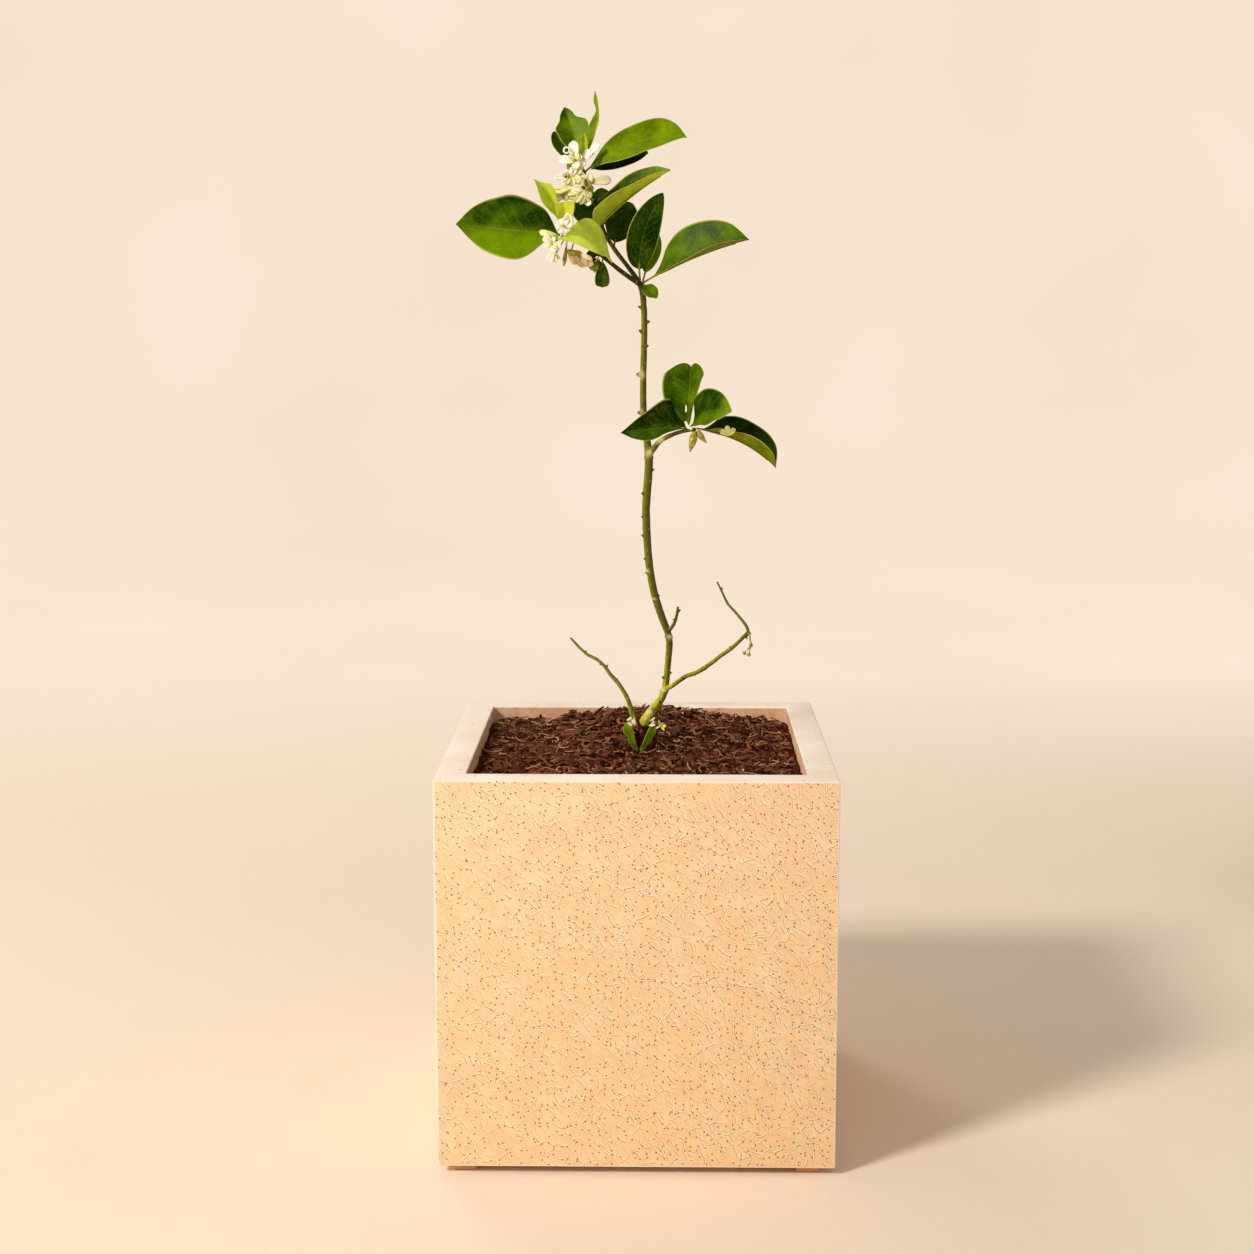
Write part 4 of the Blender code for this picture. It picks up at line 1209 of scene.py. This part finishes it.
def half_width(leaf, side, along, length):
    """How wide the half on this side is here in mm; the stalk comes before the blade."""
    petiole = leaf.petiole / length
    if along <= petiole:
        return STALK_RADIUS
    blade = (along - petiole) / (1 - petiole)
    outline = leaf.right if side > 0 else leaf.left
    if outline:
        share = along_outline(outline, blade)
    else:
        peak = leaf.swell / (leaf.swell + leaf.taper)
        share = (blade / peak) ** leaf.swell * ((1 - blade) / (1 - peak)) ** leaf.taper
    return max(leaf.width / 2 * share, STALK_RADIUS * (1 - blade), NARROWEST)


def leaf_point(leaf, axes, across, along, phase):
    """The middle surface at across, from -1 left to 1 right, and along, from 0 root to 1 tip."""
    right, forward, up, length = axes
    arch = 4 * along * (1 - along)
    slope = 4 * (1 - 2 * along) / length
    spine = forward * (along * length) + up * (leaf.bow * arch) + right * (leaf.sweep * arch)
    heading = (forward + up * (leaf.bow * slope) + right * (leaf.sweep * slope)).normalized()
    side = (right - heading * right.dot(heading)).normalized()
    lift = side.cross(heading)
    half = across > 0
    reach = abs(across) * half_width(leaf, across, along, length)
    blade = min(max((along - leaf.petiole / length) * 6, 0), 1)
    angle = math.radians(leaf.folds[half] + leaf.curl[half] * along * along) * blade
    wave = leaf.ripple * math.sin(along * RIPPLES + phase + 2.1 * half) * across * across * blade
    groove = -GROOVE_DEPTH * math.exp(-((reach / GROOVE_REACH) ** 2)) * blade
    offset = side * (math.copysign(reach, across) * math.cos(angle))
    offset += lift * (reach * math.sin(angle) + wave + groove)
    past = max(along - NOTCH_START, 0) / (1 - NOTCH_START)
    lobe = leaf.notch * math.sin(math.pi * abs(across) ** 0.8) * past
    return Vector(leaf.root) + spine + offset + heading * lobe


def leaf_tint(leaf, side, across, along, place):
    """The leaf's shade here: its levels, which paint light and shade on its halves and tip, and a slow
    mottling.
    """
    tone = leaf.tone if side == 1 else leaf.under
    dark, light = TONES[tone]
    left, right, tip = leaf.levels
    share = left + (right - left) * min(max(across * 2 + 0.5, 0), 1)
    share += (tip - share) * max(along - TIP_START, 0) / (1 - TIP_START)
    share += 0.35 * noise.noise(place / 17) + 0.12 * noise.noise(place / 6)
    return blend_shades(dark, light, min(max(share, 0.0), 1.0))


def mapped_grid(bm, cells):
    """The corners of a new flat grid of these cells across and along, from -1 to 1, with its map."""
    across, along = cells
    return bmesh.ops.create_grid(bm, x_segments=across, y_segments=along, size=1.0, calc_uvs=True)["verts"]


def open_edges(verts):
    """The edges at these corners that have a face on one side only."""
    return [edge for edge in joined_to(verts, "link_edges") if edge.is_boundary]


def leaf_skin(bm, leaf, axes, side, phase, layer):
    """One side of the blade, 1 upper or -1 lower, as a grid; gives back its open edges."""
    step = 0.01
    skin = mapped_grid(bm, LEAF_CELLS)
    for vert in skin:
        across, along = vert.co.x, (vert.co.y + 1) / 2
        across = math.copysign(abs(across) ** 1.15, across)
        here = leaf_point(leaf, axes, across, along, phase)
        a = leaf_point(leaf, axes, min(across + step, 1.0), along, phase)
        b = leaf_point(leaf, axes, max(across - step, -1.0), along, phase)
        c = leaf_point(leaf, axes, across, min(along + step, 1.0), phase)
        d = leaf_point(leaf, axes, across, max(along - step, 0.0), phase)
        normal = (a - b).cross(c - d)
        normal = normal.normalized() if normal.length > 1e-9 else axes[2]
        thick = LEAF_THICKNESS * (1 - 0.45 * abs(across)) / 2
        vert.co = (here + normal * thick * side) * MM
        vert[layer] = leaf_tint(leaf, side, across, along, here)
    faces = joined_to(skin, "link_faces")
    if side == -1:
        bmesh.ops.reverse_faces(bm, faces=faces)
    for face in faces:
        face.material_index = 0 if side == 1 else 1
        face.smooth = True
    return open_edges(skin)


def leaf_rib(leaf, axes, phase):
    """Points and radii of the stalk, running on as the midrib just under the blade."""
    length = axes[3]
    rib = []
    for i in range(RIB_RINGS):
        along = i / (RIB_RINGS - 1) * RIB_END
        past = along - leaf.petiole / length
        radius = RIB_RADIUS if along * length < leaf.petiole else RIB_RADIUS - RIB_TAPER * past
        radius = max(radius * min(1.0, length / 55 + 0.35), THINNEST_RIB)
        sink = axes[2] * (radius * 1.05 * min(max(past * 8, 0), 1))
        rib.append(Vector((*(leaf_point(leaf, axes, 0.0, along, phase) - sink), radius)))
    return rib


def build_leaf(name, leaf, materials, number):
    """Upper and lower skins joined round the margin, and the stalk running on as the midrib."""
    axes = leaf_axes(leaf)
    phase = number * GOLDEN_TURN
    bm = bmesh.new()
    layer = bm.verts.layers.float_color.new("tint")
    bm.loops.layers.uv.new("UVMap")
    borders = [edge for side in (1, -1) for edge in leaf_skin(bm, leaf, axes, side, phase, layer)]
    for face in bmesh.ops.bridge_loops(bm, edges=borders)["faces"]:
        face.material_index = 2
        face.smooth = True
    before = len(bm.verts)
    limb(bm, leaf_rib(leaf, axes, phase), sides=8, material=3)
    bm.verts.ensure_lookup_table()
    for vert in bm.verts[before:]:
        vert[layer] = leaf_tint(leaf, -1, 0, 0.2, vert.co / MM)
    nodes = (name,) if name in LEAVES else ()
    settled(new_piece(f"{name}_blade", bm, *materials), "leaf_green", *nodes)


def build_leaves():
    """Every leaf between its two ends, from the part's own nodes or from a neighbour's."""
    materials = (leaf_top_finish(), leaf_under_finish(), leaf_margin_finish(), leaf_stalk_finish())
    leaves = []
    for name, leaf in LEAVES.items():
        root, tip = part_ends(name, standing=name.startswith("base_leaf"))
        leaves.append((name, leaf, root + Vector(leaf.root_shift), tip + Vector(leaf.tip_shift)))
    for name, (neighbour, root_shift, tip_shift, leaf) in SPARE_LEAVES.items():
        root, tip = part_ends(neighbour)
        leaves.append((name, leaf, root + Vector(root_shift), tip + Vector(tip_shift)))
    for number, (name, leaf, root, tip) in enumerate(leaves):
        leaf = leaf._replace(root=root, tip=root.lerp(tip, LEAF_REACH))
        build_leaf(name, leaf, materials, number)


# ---------------------------------------------------------------- blossoms

# The part gives a blossom's root and the middle of its head; it looks along out. A petal starts at its
# own place, at, counted from that middle, and points to turn, in degrees from the right round through
# the top, as seen from the front. rise is how far its tip comes forward. straps are curled strips
# beside the petals, calyx is how large the cup is beside a full one, and stamens is how many show.
# Lengths are in mm.
Petal = namedtuple("Petal", "turn length width shade rise at", defaults=("white", 3, (0, 0, 0)))
Blossom = namedtuple("Blossom", "out petals straps calyx stamens", defaults=((), 0.9, 4))
# grey is painted shade on white petals in shadow; olive and green are partly green sepals and partly painted
# shade between the petals.
PETAL_SHADES = {
    "white": colour(255, 253, 244), "cream": colour(255, 249, 222), "lemon": colour(252, 247, 176),
    "yellow": colour(236, 222, 54), "grey": colour(230, 222, 188), "straw": colour(222, 222, 152),
    "olive": colour(150, 150, 26), "green": colour(112, 132, 16), "faded": colour(236, 212, 170),
    "brown": colour(118, 98, 30),
}


def curl_route(middle, radius, thickness):
    """A ring-shaped curl facing the front, open at the lower right."""
    turns = [math.radians(-60 + 50 * i) for i in range(8)]
    return [
        (middle[0] + radius * math.cos(turn), middle[1], middle[2] + radius * math.sin(turn), thickness)
        for turn in turns
    ]


BLOSSOMS = {
    "blossom_top": Blossom(
        (-0.2, -1, 0.3),
        [
            Petal(95, 20, 11), Petal(180, 17, 10), Petal(-80, 9, 9, "cream", 5), Petal(60, 7, 7, "lemon", 5),
            Petal(30, 8, 6, "cream", 4), Petal(215, 11, 4, "olive"), Petal(225, 13, 3, "olive"),
            Petal(-45, 9, 6, "straw"), Petal(145, 9, 5, "white", 5),
            Petal(-60, 13, 9, "straw", 2), Petal(-25, 12, 8, "cream", 2),
            Petal(45, 14, 10, "white", 1, (7, 1, 0)), Petal(50, 18, 8, "white", 1, (13, 7, 4)),
        ],
        [curl_route((-9, -6, 10), 3, 1)],
    ),
    "blossom_upper_left": Blossom(
        (-0.5, -1, 0),
        [
            Petal(185, 16, 6), Petal(205, 11, 6), Petal(135, 9, 6), Petal(90, 10, 8), Petal(50, 11, 8),
            Petal(25, 14, 6, "cream"), Petal(-110, 9, 8, "lemon", 4), Petal(-60, 10, 7, "lemon", 4),
            Petal(160, 8, 6, "cream", 5), Petal(190, 6, 2, "brown", 6), Petal(-20, 13, 9, "lemon", 4),
            Petal(70, 12, 8, "white", 1), Petal(5, 16, 9, "cream", 2), Petal(40, 16, 8, "white", 1),
            Petal(-75, 13, 9, "cream", 2), Petal(-140, 11, 7, "cream", 3),
        ],
    ),
    "blossom_upper_right": Blossom(
        (0.1, -1, 0),
        [
            Petal(5, 20, 10, "grey", 0, (6, 0, 7)), Petal(100, 10, 8, "straw"), Petal(60, 9, 7, "olive"),
            Petal(0, 8, 7, "olive"), Petal(-75, 11, 9, "straw", 4), Petal(160, 6, 6, "lemon", 4),
            Petal(170, 5, 3, "brown", 7), Petal(10, 8, 3, "brown", 6), Petal(95, 10, 3, "brown", 5),
            Petal(-130, 19, 6, "straw"), Petal(-110, 18, 7, "straw", 5), Petal(-122, 18, 3, "cream", 7),
            Petal(-80, 14, 4, "grey", 4), Petal(110, 16, 10, "straw", 2), Petal(75, 16, 9, "cream", 2),
            Petal(145, 14, 9, "white", 2), Petal(180, 14, 8, "cream", 3), Petal(-95, 15, 9, "straw", 3),
        ],
        (), 1.2, 3,
    ),
    "blossom_middle_left": Blossom(
        (-0.5, -1, 0),
        [
            Petal(165, 12, 8, "yellow", 4), Petal(200, 18, 8, "lemon", 4, (8, 0, 8)), Petal(190, 14, 8),
            Petal(215, 14, 7, "cream", 4), Petal(225, 11, 8), Petal(-100, 6, 2, "brown", 5),
            Petal(-60, 8, 5, "lemon"), Petal(15, 18, 9, "lemon", 2), Petal(-15, 14, 8, "straw", 2),
            Petal(150, 10, 7, "cream", 3),
        ],
    ),
    "blossom_middle_right": Blossom(
        (0, -1, 0),
        [
            Petal(-25, 10, 7, "white", 4, (-4, 0, 3)), Petal(100, 7, 4, "cream"), Petal(30, 8, 5, "green"),
            Petal(150, 7, 4, "cream"),
        ],
        (), 0.7, 3,
    ),
    "blossom_front": Blossom(
        (0.05, -1, 0.1),
        [Petal(20 + i * 360 / 7, 8, 8, "white", 1) for i in range(7)],
        [[(1, -2, 7, 1.4), (4, -3, 12, 1.4), (8, -3, 9, 1.4), (9, -3, 2, 1.4), (7, -2, -1, 1.4)]],
        0.8, 5,
    ),
    "blossom_left": Blossom(
        (-0.3, -1, 0),
        [
            Petal(150, 11, 6), Petal(200, 10, 5), Petal(70, 7, 5), Petal(-15, 10, 7, "cream"),
            Petal(-80, 9, 6), Petal(165, 20, 7, "lemon", 1, (6, 2, 7)), Petal(125, 13, 6, "lemon", 1),
            Petal(60, 10, 5, "olive", 0), Petal(-45, 6, 5, "lemon", 5),
        ],
        (), 0.7, 5,
    ),
    "blossom_lower_left": Blossom(
        (-0.2, -0.9, -0.3),
        [
            Petal(-110, 14, 8, "white", 3, (-2, 0, 4)), Petal(-85, 13, 6, "grey", 3, (-1, 0, 4)),
            Petal(-140, 8, 5), Petal(-45, 7, 4, "lemon"),
        ],
        (), 0.8, 2,
    ),
    "blossom_faded": Blossom(
        (0, -1, -0.2),
        [
            Petal(-50, 13, 10, "faded"), Petal(-40, 18, 11, "faded", 4, (3, 0, -1)),
            Petal(-28, 18, 9, "faded", 3, (8, 0, -3)), Petal(-25, 14, 5, "cream", 2, (10, -4, 0)),
            Petal(-5, 15, 6, "olive", 2, (-3, -3, 2)), Petal(-25, 9, 5, "yellow", 2, (-3, -3, 4)),
        ],
        (), 0.9, 0,
    ),
    "blossom_at_base": Blossom(
        (0.3, -1, 0.2),
        [
            Petal(110, 7, 2, "lemon"), Petal(60, 5, 2, "lemon"), Petal(5, 6, 4, "yellow"),
            Petal(-50, 6, 2, "lemon"), Petal(-15, 5, 3, "yellow"), Petal(200, 6, 2, "lemon"),
        ],
        (), 0.5, 2,
    ),
}
FALLEN_PETALS = {
    "fallen_petal_left": [
        Petal(35, 6, 3, "white", 1, (-4, 0, 1)), Petal(-50, 7, 3, "white", 1, (0, 0, 2)),
        Petal(-75, 6, 3, "cream", 1, (3, 0, 3)), Petal(-40, 6, 3, "white", 1, (-3, 0, -1)),
    ],
    "fallen_petal_right": [
        Petal(35, 7, 2, "cream", 1, (-3, 0, 2)), Petal(40, 5, 2, "faded", 1, (-2, 0, -1)),
        Petal(10, 7, 3, "cream", 1, (-4, 0, -3)),
    ],
}
# Pale bud scales at the middle leaves: the leaf whose root they sit by, and the scales.
BUD_SCALES = [
    ("middle_leaf_upright", [
        Petal(-65, 9, 3, "white", 2, (-2, -5, 8)), Petal(-90, 8, 2, "cream", 1, (-1, -3, 25)),
    ]),
    ("middle_leaf_right", [
        Petal(0, 6, 2, "cream", 1, (6, -3, -3)), Petal(-55, 5, 3, "white", 1, (-2, -3, 1)),
    ]),
    ("middle_leaf_right", [Petal(turn, 10, 6, "lemon", 3, (38, -20, -7)) for turn in (150, 95, 40)]),
]
PETAL_CELLS = (4, 9)
PETAL_THICKNESS = 0.8
PETAL_BOW = 0.12
PETAL_KNEE = 0.45
PETAL_CUP = 0.35


def petal(bm, heart, out, shape, layer, chance):
    """A strap petal, cupped, with a rounded end."""
    out = Vector(out).normalized()
    angle = math.radians(shape.turn)
    reach = Vector((math.cos(angle), 0, math.sin(angle))) * shape.length - Vector((0, shape.rise, 0))
    start = Vector(heart) + Vector(shape.at)
    tip = start + reach
    knee = start + out * (reach.length * PETAL_BOW) + reach * PETAL_KNEE
    borders, faces = [], []
    twist = chance.uniform(-0.3, 0.3)
    for side in (1, -1):
        skin = mapped_grid(bm, PETAL_CELLS)
        for vert in skin:
            across, along = vert.co.x, (vert.co.y + 1) / 2
            spine = start.lerp(knee, along).lerp(knee.lerp(tip, along), along)
            heading = ((knee - start) * (1 - along) + (tip - knee) * along).normalized()
            outward = (out - heading * out.dot(heading)).normalized()
            outward = Matrix.Rotation(twist * along, 3, heading) @ outward
            edge = heading.cross(outward)
            half = shape.width / 2 * (0.55 + 0.45 * math.sin(min(along * 1.4, 1.0) * math.pi / 2))
            half *= math.sqrt(max(1 - max(along - 0.7, 0) ** 2 / 0.092, 0.01))
            cup = half * PETAL_CUP * across * across
            thickness = PETAL_THICKNESS * (1 - 0.4 * abs(across)) / 2
            vert.co = (spine + edge * (half * across) + outward * (cup + thickness * side)) * MM
            vert[layer] = PETAL_SHADES[shape.shade]
        faces += joined_to(skin, "link_faces")
        borders += open_edges(skin)
    faces += bmesh.ops.bridge_loops(bm, edges=borders)["faces"]
    bmesh.ops.recalc_face_normals(bm, faces=faces)
    for face in faces:
        face.material_index = 0
        face.smooth = True


def flower_mesh():
    """An empty shape with the petals' tint and map."""
    bm = bmesh.new()
    bm.loops.layers.uv.new("UVMap")
    return bm, bm.verts.layers.float_color.new("tint")


def build_blossom(name, blossom, materials, number):
    """Petals, straps, cup and stalk, stamens and pistil, round the middle of the part's own head."""
    chance = random.Random(number + 7)
    bm, layer = flower_mesh()
    root, out = part_ends(name)[0], Vector(blossom.out).normalized()
    heart = part_head(name, root)
    size = blossom.calyx

    def ahead(reach, radius):
        """A point this far out in front of the heart, with a radius, both for a cup of full size."""
        return (*(heart + out * reach * size), radius * size)

    for shape in blossom.petals:
        petal(bm, heart, out, shape, layer, chance)
    for strap in blossom.straps:
        route = [(*(heart + Vector(point[:3])), point[3]) for point in strap]
        limb(bm, smooth_route(route, 4), sides=8, material=2)
    stalk = [(*root, 0.8), (*(root.lerp(heart, 0.5) - out), 0.85), ahead(-2.2, 1.1)]
    limb(bm, smooth_route(stalk, 4), sides=8, material=1)
    limb(bm, [ahead(-2.6, 1.2), ahead(-1.4, 2.3), ahead(0.4, 2.6), ahead(1.0, 1.9)], sides=10, material=1)
    side = out.orthogonal().normalized()
    for i in range(blossom.stamens):
        around = Matrix.Rotation(i * GOLDEN_TURN, 3, out) @ side
        foot = heart + around * 1.3 * size
        end = heart + out * chance.uniform(3.0, 5.0) * size + around * chance.uniform(1.2, 2.4) * size
        limb(bm, [(*foot, 0.35), (*foot.lerp(end, 0.5), 0.3), (*end, 0.28)], sides=5, material=2)
        knob(bm, end + out * 0.5, (0.55 * size, 1.0 * size), out, material=3, subdivisions=1)
    pistil = heart + out * 5.2 * size
    limb(bm, [(*heart, 0.9), (*(heart + out * 3 * size), 0.6), (*pistil, 0.5)], sides=6, material=1)
    knob(bm, pistil, (1.1 * size, 0.9 * size), out, material=3, subdivisions=1)
    settled(new_piece(f"{name}_flower", bm, *materials), "petal_white", name)


def build_blossoms():
    materials = (petal_finish(), calyx_finish(), filament_finish(), anther_finish())
    for number, (name, blossom) in enumerate(BLOSSOMS.items()):
        build_blossom(name, blossom, materials, number)
    chance = random.Random(70)
    for name, shapes in FALLEN_PETALS.items():
        bm, layer = flower_mesh()
        low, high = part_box(name)
        for shape in shapes:
            petal(bm, (low + high) / 2 / MM, (0, -1, 0.3), shape, layer, chance)
        settled(new_piece(f"{name}_curl", bm, materials[0]), "petal_white", name)
    bm, layer = flower_mesh()
    for leaf, shapes in BUD_SCALES:
        for shape in shapes:
            petal(bm, part_ends(leaf)[0], (0, -1, 0.3), shape, layer, chance)
    settled(new_piece("middle_bud_scales", bm, materials[0]), "petal_white")


# ---------------------------------------------------------------- buds and spent flowers


def hanging_bud(name, node, radii, finish, sag=1.0):
    """A bud along the part's own, from the end on the stem to the far end, with these radii in mm."""
    root, tip = part_ends(node)
    route = []
    for i, radius in enumerate(radii):
        along = i / (len(radii) - 1)
        place = root.lerp(tip, along) - Vector((0, 0, sag * 4 * along * (1 - along)))
        route.append((*place, radius))
    bm = bmesh.new()
    limb(bm, smooth_route(route, 5), sides=12)
    settled(new_piece(name, bm, finish), "spent_olive", node)


def build_fruitlet():
    """A round green fruit on a short stalk, with the stub of its style below."""
    low, high = (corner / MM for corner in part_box("fruitlet"))
    root, _ = part_ends("fruitlet")
    radius = min(high.x - low.x, high.y - low.y) / 2
    middle = Vector(((low.x + high.x) / 2, (low.y + high.y) / 2, low.z + radius + 1))
    top = middle + Vector((0, 0, radius * 0.8))
    bm = bmesh.new()
    limb(bm, smooth_route([(*root, 0.8), (*root.lerp(top, 0.6), 0.9), (*top, 1.3)], 4), 8, 1)
    knob(bm, middle, (radius, radius * 1.05), (0.2, 0.1, 1), 0, 3)
    bottom = Vector((0, 0, radius))
    limb(bm, [(*(middle - bottom * 0.9), 0.8), (*(middle - bottom - Vector((0, 0, 1))), 0.6)], 8, 1)
    settled(new_piece("fruitlet_and_stalk", bm, fruitlet_finish(), calyx_finish()), "spent_olive", "fruitlet")


def build_dangling_cluster(finish):
    """A dry thread hanging from the end of the side branch, a bead where it bends and two at its foot."""
    low, high = (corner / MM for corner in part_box("spent_flower_dangling"))
    root, _ = part_ends("spent_flower_dangling")
    depth = (low.y + high.y) / 2
    bend = Vector((high.x - 2, depth, (low.z + high.z) / 2))
    left = Vector((low.x + 2, depth, low.z + 3.5))
    right = Vector((low.x + 6.5, depth - 1, low.z + 2))
    bm = bmesh.new()
    limb(bm, smooth_route([(*root, 0.9), (*root.lerp(bend, 0.6), 0.8), (*bend, 0.7), (*left, 0.7)], 6), 6)
    limb(bm, smooth_route([(*bend, 0.7), (*bend.lerp(right, 0.5), 0.7), (*right, 0.7)], 4), 6)
    knob(bm, root, (2.0, 1.6), (0.5, -1, 0.5))
    knob(bm, bend, (2.4, 1.6), (0.5, -1, 0.5))
    knob(bm, left, (2.2, 1.8), (1, 0, 0.6))
    knob(bm, right, (2.3, 2.0))
    settled(new_piece("dangling_spent_cluster", bm, finish), "spent_olive", "spent_flower_dangling")


def build_buds():
    spent = spent_finish()
    hanging_bud("crown_spent_flower", "spent_flower_crown", (0.8, 0.9, 2.0, 2.2, 0.5), spent)
    hanging_bud("middle_spent_flower_left", "spent_flower_middle_left", (2.2, 4.2, 4.0, 2.3, 0.6), spent)
    hanging_bud("middle_spent_flower_right", "spent_flower_middle_right", (1.8, 3.4, 2.0, 0.6), spent)
    build_fruitlet()
    build_dangling_cluster(spent)


# ---------------------------------------------------------------- stage, light and camera


# The floor's depth, how far in front of the middle it starts, the radius of its sweep and the
# backdrop's height.
FLOOR = 7.0
FLOOR_FRONT = 3.5
SWEEP = 1.6
BACKDROP = 6.0


def build_stage():
    """A pale floor that sweeps up behind into a backdrop."""
    bm = bmesh.new()
    bmesh.ops.create_grid(bm, x_segments=1, y_segments=40, size=1.0)
    turn = SWEEP * math.pi / 2
    for vert in bm.verts:
        travel = (vert.co.y + 1) / 2 * (FLOOR + turn + BACKDROP)
        vert.co.x *= FLOOR
        if travel < FLOOR:
            vert.co.y, vert.co.z = travel - FLOOR_FRONT, 0.0
        elif travel < FLOOR + turn:
            angle = (travel - FLOOR) / SWEEP
            vert.co.y = FLOOR - FLOOR_FRONT + SWEEP * math.sin(angle)
            vert.co.z = SWEEP * (1 - math.cos(angle))
        else:
            vert.co.y = FLOOR - FLOOR_FRONT + SWEEP
            vert.co.z = SWEEP + travel - FLOOR - turn
    new_piece("pale_stage", bm, stage_finish())


def add_lamp(name, place, target, size, power, tone):
    """A soft round lamp of this size in metres, turned to the target."""
    light = bpy.data.lights.new(name, "AREA")
    light.shape = "DISK"
    light.size = size
    light.energy = power
    light.color = tone
    lamp = bpy.data.objects.new(name, light)
    lamp.location = place
    lamp.rotation_euler = (Vector(target) - Vector(place)).to_track_quat("-Z", "Y").to_euler()
    bpy.context.scene.collection.objects.link(lamp)
    return lamp


def light_and_view():
    """Soft warm light from the upper left, a pale surround that only the camera sees, and the camera."""
    scene = bpy.context.scene
    world = bpy.data.worlds.new("studio_air")
    scene.world = world
    world.use_nodes = True
    nodes, links = world.node_tree.nodes, world.node_tree.links
    air = nodes["Background"]
    air.inputs["Color"].default_value = (1.0, 0.98, 0.95, 1)
    air.inputs["Strength"].default_value = 0.35
    beyond = nodes.new("ShaderNodeBackground")
    beyond.inputs["Color"].default_value = colour(246, 230, 212)
    seen = nodes.new("ShaderNodeLightPath")
    choice = nodes.new("ShaderNodeMixShader")
    links.new(seen.outputs["Is Camera Ray"], choice.inputs["Fac"])
    links.new(air.outputs["Background"], choice.inputs[1])
    links.new(beyond.outputs["Background"], choice.inputs[2])
    links.new(choice.outputs["Shader"], nodes["World Output"].inputs["Surface"])
    middle = (0, 0, 0.55)
    add_lamp("key", (-4.2, -3.6, 4.0), middle, 1.3, 335, (1.0, 0.98, 0.95))
    add_lamp("fill", (3.6, -4.6, 2.2), middle, 3.0, 24, (1.0, 0.99, 0.98))
    back = add_lamp("back", (-2.0, 3.6, 3.4), middle, 1.8, 46, (1.0, 0.99, 0.96))
    back.visible_glossy = False
    scene.view_settings.view_transform = "Standard"

    lens = bpy.data.cameras.new("camera")
    lens.lens = 57.8
    lens.sensor_width = 36.0
    lens.shift_y = -0.05
    lens.clip_end = 50
    camera = bpy.data.objects.new("camera", lens)
    camera.location = (0.0216, -2.130, 0.866)
    camera.rotation_euler = (math.radians(90 - 7.29), 0, math.radians(0.91))
    scene.collection.objects.link(camera)
    scene.camera = camera


light_and_view()
build_stage()
build_planter()
build_feet()
build_soil()
build_soil_litter()
build_stem()
build_leaves()
build_blossoms()
build_buds()
